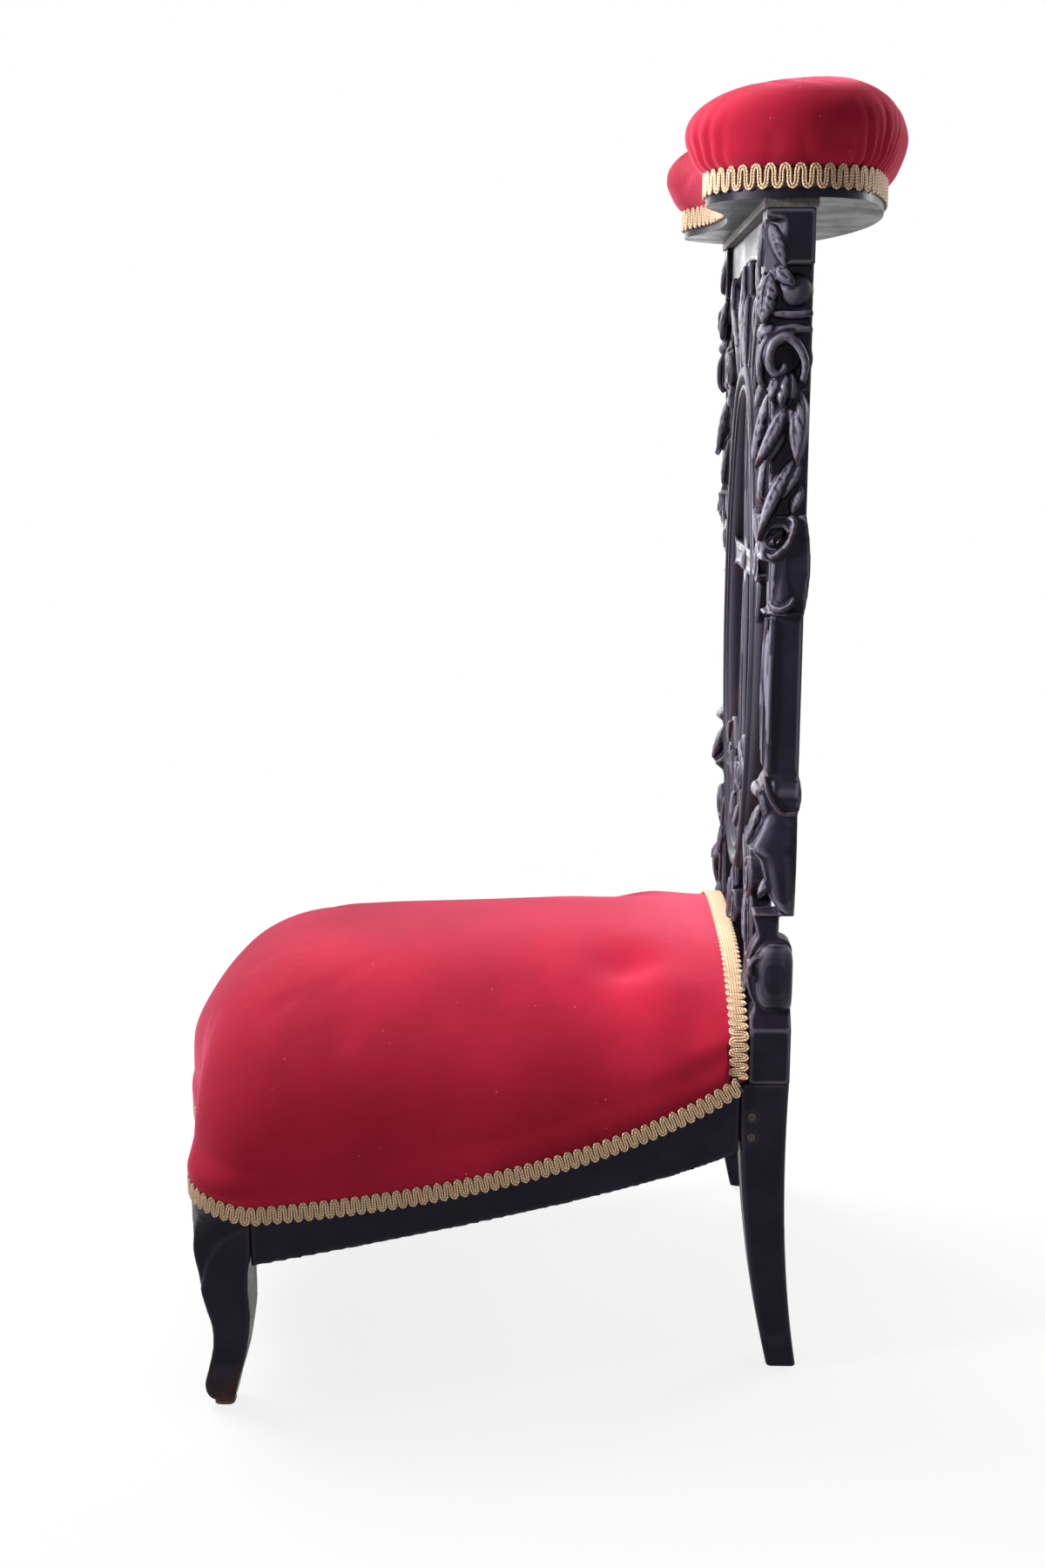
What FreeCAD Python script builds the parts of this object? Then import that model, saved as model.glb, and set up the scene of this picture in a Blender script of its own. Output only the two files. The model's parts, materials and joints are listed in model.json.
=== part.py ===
"""Prie-dieu chair: ebonised carved frame, pierced back with a cross, low stuffed seat, padded kidney armrest.

Millimetres. +Z is up, -Y is the kneeling side, +X is the right hand of a person kneeling on the seat.
The origin lies on the floor under the middle of the whole chair.
"""
import FreeCAD, Part
import math
import os

os.makedirs("parts", exist_ok=True)
V = FreeCAD.Vector

# Plan of the seat frame
BACK_Y = 203.0
REAR_HALF = 178.0
FRONT_HALF = 232.0
CORNER_Y = -187.0
CORNER_RUN_X = 42.0
CORNER_RUN_Y = 50.0
CORNER_BULGE = 0.2
FRONT_BOW = 31.0
FRONT_FLAT = 0.74
FRONT_TURN = 0.4
RAIL_THICK = 24.0
CLEAR = 0.3

# Legs
GLIDE_HEIGHT = 3.0
GLIDE_MARGIN = 2.0
LEG_TOP = 228.0
LEG_DEPTH = 36.0
LEG_WIDTH = 30.0
LEG_WAIST_Z = 150.0
LEG_SPLAY = 11.0
REAR_FOOT_DEPTH = 22.0
LEG_EDGE = 2.0
KNEE_SIZE = 42.0
KNEE_Z = 112.0
ANKLE_SIZE = 25.0
ANKLE_Z = 50.0
ANKLE_BACK = 2.5
TOE_SIZE = 21.0
TOE_OUT = 18.0
TOE_FORWARD = 6.5
TOE_EASE = 0.4
KNEE_DRAW = 5.0
ANKLE_LEAN = 0.45
KNEE_TOP = 136.0

# Seat rails: lower edge and braid line, seen from the side
GIMP_WIDTH = 15.0
GIMP_THICK = 2.2
GIMP_FRONT_Z = 138.0
GIMP_REAR_Z = 221.0
GIMP_BEND_Y = 43.0
GIMP_BEND_RISE = 7.0
BRAID_STEPS = 7
SIDE_LOWER_FRONT_Z = 106.0
SIDE_LOWER_REAR_Z = 175.0
SIDE_LOWER_BEND_Y = 99.0
SIDE_LOWER_BEND_Z = 145.0
FRONT_RAIL_BOTTOM = 103.0
REAR_RAIL_BOTTOM = 176.0
REAR_RAIL_TOP = 264.0
REAR_RAIL_THICK = 27.0
TENON_LENGTH = 18.0
TENON_THICK = 9.0
TENON_SHOULDER = 8.0
PEG_RADIUS = 3.5
PEG_LENGTH = 14.0
PEG_SPACING = 16.0
PEG_BELOW_TOP = 25.0
BLOCK_LEG = 46.0
BLOCK_HEIGHT = 22.0
BLOCK_GAP = 3.0

# Webbing, hessian and stuffing
WEB_WIDTH = 50.0
WEB_THICK = 1.4
LENGTHWISE_COUNT = 3
WEB_LENGTHWISE_PITCH = 92.0
CROSSWISE_COUNT = 4
WEB_CROSSWISE_PITCH = 76.0
WEB_CROSSWISE_MIDDLE = -18.0
WEB_TURN = 18.0
WEB_STOP = 4.0
TACK_HEAD = 6.0
TACK_HEIGHT = 0.9
TACK_SHANK = 9.0
TACK_THICK = 1.6
HESSIAN_THICK = 1.0
COVER_THICK = 2.0
SEAT_BASE_Z = 175.0
SEAT_RISE = 134.0
SEAT_TURNS = (0, 22, 42, 58, 74, 90)
SEAT_STEPS = 4
SEAT_SIDE_ROLL = 160.0
SEAT_FRONT_ROLL = 140.0
SEAT_FLANK_ROLL = 45.0
SEAT_REAR_ROLL = 12.0
SEAT_SWELL = 4.0
SEAT_TILT = 3.0
REAR_BRAID_Z = 264.0
REAR_CROWN = 28.0

# Back: heights of the carved features of a stile, from the joint upwards
STILE_WIDTH = 30.0
STILE_DEPTH = 30.0
BASE_BLOCK = 49.0
BASE_CHAMFER = 8.0
SMALL_SCROLL = 52.0
NECK = 17.0
FLARE = 76.0
FLARE_TIP = 50.0
ROLL = 28.0
SHAFT = 113.0
BARREL = 68.0
LEAF = 86.0
ROUNDEL_RADIUS = 20.0
BAND = 14.0
BUD = 23.0
TOP_BLOCK = 41.0
TOP_BLOCK_DEPTH = 33.0
EYE_RADIUS = 6.0
EYE_DEPTH = 6.0
DOWEL_RADIUS = 4.0
DOWEL_LENGTH = 30.0
TOP_RAIL_DEPTH = 24.0
TOP_RAIL_END = 44.0
TOP_RAIL_MIDDLE = 22.0

# Pierced panel of the back
PANEL_FRONT = 28.0
PANEL_THICK = 16.0
OVAL_HALF_WIDTH = 116.0
OVAL_END_SHARE = 0.69
OVAL_BOTTOM = 350.0
OVAL_TOP = 744.0
OVAL_BAND = 18.0
OVAL_BEAD = 3.0
CROSS_WIDTH = 19.0
CROSS_FLARE = 40.0
CROSS_FLARE_RUN = 44.0
CROSS_THICK = 11.0
CROSS_ARM_Z = 596.0
CROSS_TENON = 6.0
VOLUTE_PROUD = 2.5

# Armrest
CLEAT_THICK = 6.0
CLEAT_DEPTH = 36.0
BOARD_THICK = 22.0
ARM_SIDE_REACH = 5.0
ARM_END_RADIUS = 58.0
ARM_END_BEHIND = 12.0
ARM_HOLLOW = 46.0
ARM_BEHIND = 67.0
ARM_GIMP_LIFT = 5.0
ARM_PAD = 60.0
ARM_OVERHANG = 12.0
ARM_WAIST = 22.0
ARM_ROLL = 52.0
ARM_LOWER_ROLL = 36.0
ARM_TURNS = (-44, -20, 0, 26, 48, 70, 90)
ARM_STEPS = 8
ARM_DOWEL_LENGTH = 44.0

# Levels and places that follow from the sizes above
LEG_FRONT_Y = BACK_Y - LEG_DEPTH
STILE_FRONT_Y = BACK_Y - STILE_DEPTH
SEAT_REAR_Y = STILE_FRONT_Y - CLEAR
STILE_X = REAR_HALF - STILE_WIDTH / 2
STILE_INNER = REAR_HALF - STILE_WIDTH
Z_BLOCK = LEG_TOP + BASE_BLOCK
Z_SCROLL = Z_BLOCK + BASE_CHAMFER
Z_NECK = Z_SCROLL + SMALL_SCROLL
Z_FLARE = Z_NECK + NECK
Z_ROLL = Z_FLARE + FLARE
Z_SHAFT = Z_ROLL + ROLL
Z_BARREL = Z_SHAFT + SHAFT
Z_LEAF = Z_BARREL + BARREL
Z_ROUNDEL = Z_LEAF + LEAF
Z_BAND = Z_ROUNDEL + 2 * ROUNDEL_RADIUS
Z_BUD = Z_BAND + BAND
Z_TOP_BLOCK = Z_BUD + BUD
STILE_TOP = Z_TOP_BLOCK + TOP_BLOCK
BOARD_Z = STILE_TOP + CLEAT_THICK
PAD_Z = BOARD_Z + BOARD_THICK
ARM_HALF = REAR_HALF + ARM_SIDE_REACH
ARM_END_Y = BACK_Y - ARM_END_BEHIND
ARM_HOLLOW_Y = BACK_Y - ARM_HOLLOW
ARM_FULL_Y = BACK_Y + ARM_BEHIND
PANEL_Y = BACK_Y - PANEL_FRONT
OVAL_Z = (OVAL_BOTTOM + OVAL_TOP) / 2
OVAL_HALF_HEIGHT = (OVAL_TOP - OVAL_BOTTOM) / 2
RAIL_TOP_FRONT = GIMP_FRONT_Z + GIMP_WIDTH
FRONT_CORNER_X = FRONT_HALF - CORNER_RUN_X
FRONT_CORNER_Y = CORNER_Y - CORNER_RUN_Y
FRONT_INNER_Y = FRONT_CORNER_Y + RAIL_THICK
KNEE_X = FRONT_HALF + 2 - KNEE_SIZE / 2
KNEE_Y = CORNER_Y - KNEE_SIZE / 2
SHEET = 600.0


def save(name, shape):
    """Write one node's solid or group of solids."""
    shape.exportStep(os.path.join("parts", name + ".step"))


def line(a, b):
    return Part.makeLine(a, b)


def arc(a, middle, b):
    return Part.Arc(a, middle, b).toShape()


def bend(a, b, c):
    """Arc through three points, or the straight line where they are in line."""
    straight = (b - a).cross(c - a).Length < CLEAR * CLEAR
    return line(a, c) if straight else arc(a, b, c)


def leaving(a, b):
    """Arc that leaves a along X and ends at b, in a level plane."""
    dx, dy = b.x - a.x, b.y - a.y
    radius = (dx * dx + dy * dy) / (2 * abs(dy))
    half = math.asin(min(1.0, abs(dx) / radius)) / 2
    across = math.copysign(radius * math.sin(half), dx)
    return arc(a, V(a.x + across, a.y + math.copysign(radius * (1 - math.cos(half)), dy), a.z), b)


def bezier(*poles):
    curve = Part.BezierCurve()
    curve.setPoles(list(poles))
    return curve.toShape()


def closed(edges):
    return Part.Wire(Part.__sortEdges__(edges))


def stepped(wire, count):
    """Points of an outline, each of its edges cut into equal steps."""
    points = []
    for edge in wire.OrderedEdges:
        spots = edge.discretize(count + 1)
        spots = spots if edge.Orientation == "Forward" else spots[::-1]
        points += spots[:-1]
    return points


def skin(rings):
    """Solid closed by straight facets between rings of equally many points, one ring above the other."""
    faces = [Part.Face(closed(polygon(rings[0]))), Part.Face(closed(polygon(rings[-1])))]
    for low, high in zip(rings, rings[1:]):
        for i in range(len(low)):
            after = (i + 1) % len(low)
            faces.append(Part.Face(closed(polygon([low[i], low[after], high[after]]))))
            faces.append(Part.Face(closed(polygon([low[i], high[after], high[i]]))))
    solid = Part.Solid(Part.makeShell(faces))
    if solid.Volume < 0:
        solid.reverse()
    return solid


def prism(edges, direction):
    """Solid swept from a flat closed outline."""
    return Part.Face(closed(edges)).extrude(direction)


def polygon(points):
    return [line(a, b) for a, b in zip(points, points[1:] + points[:1])]


def box(x0, x1, y0, y1, z0, z1):
    return Part.makeBox(x1 - x0, y1 - y0, z1 - z0, V(x0, y0, z0))


def mirrored(shape):
    """The left-hand twin of a right-hand piece."""
    return shape.mirror(V(0, 0, 0), V(1, 0, 0))


def join(first, *others):
    """One solid fused from touching shapes, with its flat seams merged."""
    return first.fuse(list(others)).removeSplitter()


def drill(foot, direction, radius, length):
    return Part.makeCylinder(radius, length, foot, direction)


def whittled_peg(foot, direction, radius, length):
    """Eight-sided peg or dowel, as split and whittled for a joint."""
    rim = [V(radius * math.cos(math.radians(45 * i)), radius * math.sin(math.radians(45 * i)), 0)
           for i in range(8)]
    peg = prism(polygon(rim), V(0, 0, length))
    peg.Placement = FreeCAD.Placement(foot, FreeCAD.Rotation(V(0, 0, 1), direction))
    return peg


# Seat plan and side curves

def seat_plan(side_inset, front_inset, rear_inset, rear_side_inset, z):
    """Closed outline of the seat at one height: straight rear and sides, round corners, serpentine front."""
    rear = V(REAR_HALF - rear_side_inset, SEAT_REAR_Y - rear_inset, z)
    side = V(FRONT_HALF - side_inset, CORNER_Y + 0.9 * front_inset, z)
    front = V(FRONT_CORNER_X - 0.9 * side_inset, FRONT_CORNER_Y + front_inset, z)
    bow = V(0, front.y - FRONT_BOW * front.x / FRONT_CORNER_X, z)
    start = V(FRONT_FLAT * front.x, front.y, z)
    turn = start + (bow - start) * FRONT_TURN
    chord = front - side
    outward = V(-chord.y, chord.x, 0) * CORNER_BULGE
    bulge = (side + front) * 0.5 + outward

    def flip(p):
        return V(-p.x, p.y, p.z)

    return closed([
        line(rear, side),
        arc(side, bulge, front),
        line(front, start),
        leaving(start, turn),
        arc(turn, bow, flip(turn)),
        leaving(flip(start), flip(turn)),
        line(flip(start), flip(front)),
        arc(flip(front), flip(bulge), flip(side)),
        line(flip(side), flip(rear)),
        line(flip(rear), rear),
    ])


def plan_prism(inset, z0, z1):
    return Part.Face(seat_plan(inset, inset, inset, inset, z0)).extrude(V(0, 0, z1 - z0))


def braid_poles(lift, x=0):
    """Poles of the line that the braid follows along the side, level ahead of the front leg."""
    return [
        V(x, CORNER_Y, GIMP_FRONT_Z + lift),
        V(x, GIMP_BEND_Y, GIMP_FRONT_Z + GIMP_BEND_RISE + lift),
        V(x, LEG_FRONT_Y, GIMP_REAR_Z + lift),
    ]


def lower_poles(x=0):
    return [
        V(x, CORNER_Y, SIDE_LOWER_FRONT_Z),
        V(x, SIDE_LOWER_BEND_Y, SIDE_LOWER_BEND_Z),
        V(x, LEG_FRONT_Y, SIDE_LOWER_REAR_Z),
    ]


def curve_at(poles, y):
    """Height and slope angle of a three-pole curve where it passes the given y."""
    a, b, c = poles
    low, high = 0.0, 1.0
    for _ in range(40):
        t = (low + high) / 2
        here = (1 - t) ** 2 * a.y + 2 * t * (1 - t) * b.y + t * t * c.y
        low, high = (t, high) if here < y else (low, t)
    z = (1 - t) ** 2 * a.z + 2 * t * (1 - t) * b.z + t * t * c.z
    run = (b - a) * (1 - t) + (c - b) * t
    return z, math.degrees(math.atan2(run.z, run.y))


def below_braid(lift):
    """Everything under the braid line raised by lift, across the whole width, in straight steps."""
    a, b, c = braid_poles(lift, -SHEET)
    steps = [i / BRAID_STEPS for i in range(BRAID_STEPS + 1)]
    curve = [a * (1 - t) ** 2 + b * (2 * t * (1 - t)) + c * (t * t) for t in steps]
    ends = [V(-SHEET, SHEET, c.z), V(-SHEET, SHEET, 0), V(-SHEET, -SHEET, 0), V(-SHEET, -SHEET, a.z)]
    return prism(polygon(curve + ends), V(2 * SHEET, 0, 0))


# Legs

def side_tenon_rear():
    """Tenon of the right side rail in the rear leg."""
    x = REAR_HALF - RAIL_THICK / 2
    return box(x - TENON_THICK / 2, x + TENON_THICK / 2, LEG_FRONT_Y - 4, LEG_FRONT_Y + TENON_LENGTH,
               SIDE_LOWER_REAR_Z + TENON_SHOULDER, LEG_TOP - TENON_SHOULDER)


def side_tenon_front():
    """Tenon of the right side rail in the front leg."""
    x = FRONT_HALF - RAIL_THICK / 2
    return box(x - TENON_THICK / 2, x + TENON_THICK / 2, CORNER_Y - TENON_LENGTH, CORNER_Y + 4,
               SIDE_LOWER_FRONT_Z + TENON_SHOULDER, RAIL_TOP_FRONT - TENON_SHOULDER)


def front_tenon():
    """Tenon of the front rail in the right front leg."""
    inner = KNEE_X - KNEE_SIZE / 2
    y = CORNER_Y - TENON_LENGTH - TENON_SHOULDER - TENON_THICK / 2
    return box(inner - 4, inner + TENON_LENGTH, y - TENON_THICK / 2, y + TENON_THICK / 2,
               FRONT_RAIL_BOTTOM + TENON_SHOULDER, RAIL_TOP_FRONT - TENON_SHOULDER)


def rear_tenon():
    """Tenon of the rear rail in the right rear leg."""
    y = LEG_FRONT_Y + TENON_LENGTH + TENON_THICK / 2 + 1
    return box(STILE_INNER - 4, STILE_INNER + TENON_LENGTH - 2, y - TENON_THICK / 2, y + TENON_THICK / 2,
               REAR_RAIL_BOTTOM + TENON_SHOULDER, LEG_TOP - TENON_SHOULDER)


def pegs():
    """The two pegs that lock the side rail's rear tenon."""
    y = LEG_FRONT_Y + TENON_LENGTH / 2
    top = LEG_TOP - PEG_BELOW_TOP
    return [whittled_peg(V(REAR_HALF + CLEAR, y, top - i * PEG_SPACING), V(-1, 0, 0), PEG_RADIUS, PEG_LENGTH)
            for i in range(2)]


def stile_dowel():
    foot = V(REAR_HALF - DOWEL_RADIUS - 4, BACK_Y - DOWEL_RADIUS - 4, LEG_TOP - DOWEL_LENGTH / 2)
    return whittled_peg(foot, V(0, 0, 1), DOWEL_RADIUS, DOWEL_LENGTH)


def rear_leg():
    """Sabre leg: square section, swept back at the foot, with mortises for two rails."""
    x = STILE_INNER

    def at(depth, z):
        return V(x, BACK_Y - depth, z)

    foot = GLIDE_HEIGHT
    waist = LEG_WAIST_Z
    front = bezier(at(LEG_DEPTH, LEG_TOP), at(LEG_DEPTH, waist), at(LEG_DEPTH - 8, waist / 2),
                   at(REAR_FOOT_DEPTH - LEG_SPLAY, foot))
    rear = bezier(at(0, LEG_TOP), at(3, waist), at(1, waist / 2), at(-LEG_SPLAY, foot))
    edges = [
        front,
        line(at(REAR_FOOT_DEPTH - LEG_SPLAY, foot), at(-LEG_SPLAY, foot)),
        rear,
        line(at(0, LEG_TOP), at(LEG_DEPTH, LEG_TOP)),
    ]
    leg = prism(edges, V(LEG_WIDTH, 0, 0))
    long_edges = [e for e in leg.Edges if e.BoundBox.ZLength > LEG_TOP / 2]
    leg = leg.makeChamfer(LEG_EDGE, long_edges)
    for cut in [side_tenon_rear(), rear_tenon(), stile_dowel()] + pegs():
        leg = leg.cut(cut)
    return leg


def front_leg():
    """Cabriole leg sawn from two faces: full knee under the rail, slim ankle, small toe turned outwards."""
    def at(offset, z):
        return V(offset, offset, z)

    knee = KNEE_SIZE / 2
    ankle = ANKLE_SIZE / 2
    toe = TOE_SIZE / 2
    low = GLIDE_HEIGHT

    def sawn(centre, lean, reach, face, sweep):
        """Leg seen square to one face, leaning at the ankle and reaching at the toe, cut through the blank."""
        def on(offset, z):
            p = at(centre + offset, z)
            return V(p.x * face.x, p.y * face.y, z)

        def flank(sign, draw):
            """One side of the leg: knee, drawn-in calf, ankle and toe."""
            waist = on(sign * (knee - KNEE_DRAW) + draw, (KNEE_Z + ANKLE_Z) / 2)
            slim, end = sign * ankle + lean, reach + sign * toe
            ease = on(slim + (end - slim) * TOE_EASE, (ANKLE_Z + low) / 2)
            return [line(on(sign * knee, RAIL_TOP_FRONT), on(sign * knee, KNEE_Z)),
                    arc(on(sign * knee, KNEE_Z), waist, on(slim, ANKLE_Z)),
                    arc(on(slim, ANKLE_Z), ease, on(end, low))]

        caps = [line(on(reach + toe, low), on(reach - toe, low)),
                line(on(-knee, RAIL_TOP_FRONT), on(knee, RAIL_TOP_FRONT))]
        return prism(flank(1, lean) + flank(-1, 0) + caps, sweep)

    side = sawn(KNEE_Y, ANKLE_BACK, -TOE_FORWARD, V(0, 1, 0), V(SHEET, 0, 0))
    front = sawn(KNEE_X, TOE_OUT * ANKLE_LEAN, TOE_OUT, V(1, 0, 0), V(0, -SHEET, 0))
    leg = side.common(front)
    corner = plan_prism(0, KNEE_TOP, RAIL_TOP_FRONT + 1)
    leg = leg.cut(box(0, SHEET, -SHEET, 0, KNEE_TOP, SHEET).cut(corner))
    leg = leg.cut(side_tenon_front())
    return leg.cut(front_tenon())


def foot_glides():
    """Square leather pads under the four feet."""
    half_rear = REAR_HALF - LEG_WIDTH / 2
    rear_y = BACK_Y + LEG_SPLAY - REAR_FOOT_DEPTH / 2
    feet = [(half_rear, rear_y, REAR_FOOT_DEPTH), (KNEE_X + TOE_OUT, KNEE_Y - TOE_FORWARD, TOE_SIZE)]
    pads = []
    for x, y, size in feet:
        h = size / 2 - GLIDE_MARGIN
        pad = box(x - h, x + h, y - h, y + h, 0, GLIDE_HEIGHT)
        pads += [pad, mirrored(pad)]
    return Part.makeCompound(pads)


# Seat frame

def side_rail():
    """Right side rail: rises in a curve to the back, tenoned into both legs."""
    plan = polygon([
        V(REAR_HALF, LEG_FRONT_Y, 0),
        V(FRONT_HALF, CORNER_Y, 0),
        V(FRONT_HALF - RAIL_THICK, CORNER_Y, 0),
        V(REAR_HALF - RAIL_THICK, LEG_FRONT_Y, 0),
    ])
    lower = lower_poles()
    upper = braid_poles(GIMP_WIDTH)
    side = [
        bezier(*lower),
        line(lower[2], upper[2]),
        bezier(*upper),
        line(upper[0], lower[0]),
    ]
    rail = prism(plan, V(0, 0, SHEET)).common(prism(side, V(SHEET, 0, 0)))
    rail = join(rail, side_tenon_rear(), side_tenon_front())
    for peg in pegs():
        rail = rail.cut(peg)
    return rail


def front_rail():
    """Bowed front rail between the cabriole legs."""
    reach = KNEE_X - KNEE_SIZE / 2
    ring = plan_prism(0, FRONT_RAIL_BOTTOM, RAIL_TOP_FRONT)
    ring = ring.cut(plan_prism(RAIL_THICK, FRONT_RAIL_BOTTOM, RAIL_TOP_FRONT))
    zone = box(-reach, reach, -SHEET, CORNER_Y - 4, FRONT_RAIL_BOTTOM, RAIL_TOP_FRONT)
    rail = ring.common(zone)
    tenon = front_tenon()
    return join(rail, tenon, mirrored(tenon))


def rear_rail():
    """Deep rear rail between the rear legs and the feet of the stiles."""
    rail = box(-STILE_INNER, STILE_INNER, STILE_FRONT_Y, STILE_FRONT_Y + REAR_RAIL_THICK,
               REAR_RAIL_BOTTOM, REAR_RAIL_TOP)
    tenon = rear_tenon()
    return join(rail, tenon, mirrored(tenon))


def rail_inner_x(y):
    """Inner face of the right side rail at the given y."""
    return half_width_at(y) - RAIL_THICK


def half_width_at(y):
    share = (LEG_FRONT_Y - y) / (LEG_FRONT_Y - CORNER_Y)
    return REAR_HALF + share * (FRONT_HALF - REAR_HALF)


def block_outline(front):
    """Plan of a right-hand corner block: flat on the side rail and on the leg or the rear rail."""
    if front:
        tip = CORNER_Y + BLOCK_LEG
        z = SIDE_LOWER_FRONT_Z + TENON_SHOULDER
        plan = [(rail_inner_x(CORNER_Y), CORNER_Y), (rail_inner_x(tip), tip),
                (rail_inner_x(CORNER_Y) - BLOCK_LEG, CORNER_Y)]
    else:
        tip = LEG_FRONT_Y - BLOCK_LEG
        z = SIDE_LOWER_REAR_Z + TENON_SHOULDER
        plan = [(rail_inner_x(LEG_FRONT_Y), LEG_FRONT_Y), (rail_inner_x(tip), tip),
                (rail_inner_x(LEG_FRONT_Y) - BLOCK_LEG, STILE_FRONT_Y), (STILE_INNER, STILE_FRONT_Y),
                (STILE_INNER, LEG_FRONT_Y)]
    return [V(x, y, z) for x, y in plan]


def corner_block(front):
    """Triangular glue block in a right-hand corner of the seat frame."""
    return prism(polygon(block_outline(front)), V(0, 0, BLOCK_HEIGHT))


# Webbing and upholstery of the seat

def deck_z(y):
    """Upper face of the lengthwise straps between the front rail and the rear rail."""
    share = (y - FRONT_INNER_Y) / (STILE_FRONT_Y - FRONT_INNER_Y)
    return FRONT_RAIL_BOTTOM + share * (REAR_RAIL_BOTTOM - FRONT_RAIL_BOTTOM)


def web_strap(start, end, width_axis):
    """Flat strap between two points of its upper face."""
    down = V(0, width_axis.z, -width_axis.y) * WEB_THICK
    half = width_axis * (WEB_WIDTH / 2)
    return prism(polygon([start - half, start + half, end + half, end - half]), down)


def strap_offsets(count, pitch):
    return [(i - (count - 1) / 2) * pitch for i in range(count)]


def strap_front(offset):
    """Where a strap's front end stops, just inside the outer face of the serpentine rail."""
    share = 1 - (abs(offset) + WEB_WIDTH / 2) / (FRONT_FLAT * FRONT_CORNER_X)
    return FRONT_CORNER_Y - FRONT_BOW * max(0.0, share) + WEB_STOP


def web_lengthwise():
    """Straps from the front rail to the rear rail, turned flat and tacked under both."""
    rear_end = STILE_FRONT_Y + WEB_TURN
    straps = []
    for offset in strap_offsets(LENGTHWISE_COUNT, WEB_LENGTHWISE_PITCH):
        upper = [(strap_front(offset), FRONT_RAIL_BOTTOM), (FRONT_INNER_Y, FRONT_RAIL_BOTTOM),
                 (STILE_FRONT_Y, REAR_RAIL_BOTTOM), (rear_end, REAR_RAIL_BOTTOM)]
        x = offset - WEB_WIDTH / 2
        top = [V(x, y, z) for y, z in upper]
        under = [p - V(0, 0, WEB_THICK) for p in reversed(top)]
        straps.append(prism(polygon(top + under), V(WEB_WIDTH, 0, 0)))
    return straps


def web_crosswise():
    """Straps between the side rails, tacked under their lower edges."""
    straps = []
    for offset in strap_offsets(CROSSWISE_COUNT, WEB_CROSSWISE_PITCH):
        y = WEB_CROSSWISE_MIDDLE + offset
        z, slope = curve_at(lower_poles(), y)
        tilt = V(0, math.cos(math.radians(slope)), math.sin(math.radians(slope)))
        reach = half_width_at(y + WEB_WIDTH / 2) - 3
        straps.append(web_strap(V(-reach, y, z), V(reach, y, z), tilt))
    return straps


def tack(head_point, up):
    """Cut tack: a square head and a square tapered shank driven along up."""
    def ring(half, z):
        return closed(polygon([V(-half, -half, z), V(half, -half, z), V(half, half, z), V(-half, half, z)]))

    head = Part.Face(ring(TACK_HEAD / 2, -TACK_HEIGHT)).extrude(V(0, 0, TACK_HEIGHT))
    shank = Part.makeLoft([ring(TACK_THICK / 2, 0), ring(TACK_THICK / 8, TACK_SHANK)], True, True)
    piece = join(head, shank)
    piece.Placement = FreeCAD.Placement(head_point, FreeCAD.Rotation(V(0, 0, 1), up))
    return piece


def webbing_tacks():
    """One tack through each end of each strap."""
    tacks = []
    for offset in strap_offsets(LENGTHWISE_COUNT, WEB_LENGTHWISE_PITCH):
        front = V(offset, strap_front(offset) + WEB_TURN / 2, FRONT_RAIL_BOTTOM - WEB_THICK)
        rear = V(offset, STILE_FRONT_Y + WEB_TURN / 2, REAR_RAIL_BOTTOM - WEB_THICK)
        tacks += [tack(front, V(0, 0, 1)), tack(rear, V(0, 0, 1))]
    for offset in strap_offsets(CROSSWISE_COUNT, WEB_CROSSWISE_PITCH):
        y = WEB_CROSSWISE_MIDDLE + offset
        z, slope = curve_at(lower_poles(), y)
        up = V(0, -math.sin(math.radians(slope)), math.cos(math.radians(slope)))
        right = tack(V(half_width_at(y) - RAIL_THICK / 2, y, z) - up * WEB_THICK, up)
        tacks += [right, mirrored(right)]
    return tacks


def well_plan(z):
    """Room inside the frame, clear of the corner blocks and the front legs."""
    room = CLEAR + BLOCK_GAP
    rear_y = LEG_FRONT_Y - BLOCK_LEG - room
    front_y = CORNER_Y + BLOCK_LEG + room
    right = [
        (rail_inner_x(LEG_FRONT_Y) - BLOCK_LEG - room, STILE_FRONT_Y - 2 * room),
        (rail_inner_x(rear_y) - 1, rear_y),
        (rail_inner_x(front_y) - 1, front_y),
        (rail_inner_x(CORNER_Y) - BLOCK_LEG - room, CORNER_Y),
        (rail_inner_x(CORNER_Y) - BLOCK_LEG - room, FRONT_INNER_Y + room),
    ]
    points = [V(x, y, z) for x, y in right] + [V(-x, y, z) for x, y in reversed(right)]
    return polygon(points)


def deck_slab(lift, thick):
    """Sloping slab whose lower face lies lift above the straps."""
    low = V(-SHEET, -SHEET, deck_z(-SHEET) + lift)
    high = V(-SHEET, SHEET, deck_z(SHEET) + lift)
    up = V(0, 0, thick)
    return prism(polygon([low, high, high + up, low + up]), V(2 * SHEET, 0, 0))


def hessian():
    """Hessian stretched over the straps between the rails."""
    return prism(well_plan(0), V(0, 0, SHEET)).common(deck_slab(CLEAR / 3, HESSIAN_THICK))


def rear_arch(y, lift):
    """Crowned line of the seat's rear edge, as one edge from left to right."""
    z = REAR_BRAID_Z + lift
    return arc(V(-REAR_HALF, y, z), V(0, y, z + REAR_CROWN), V(REAR_HALF, y, z))


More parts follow.
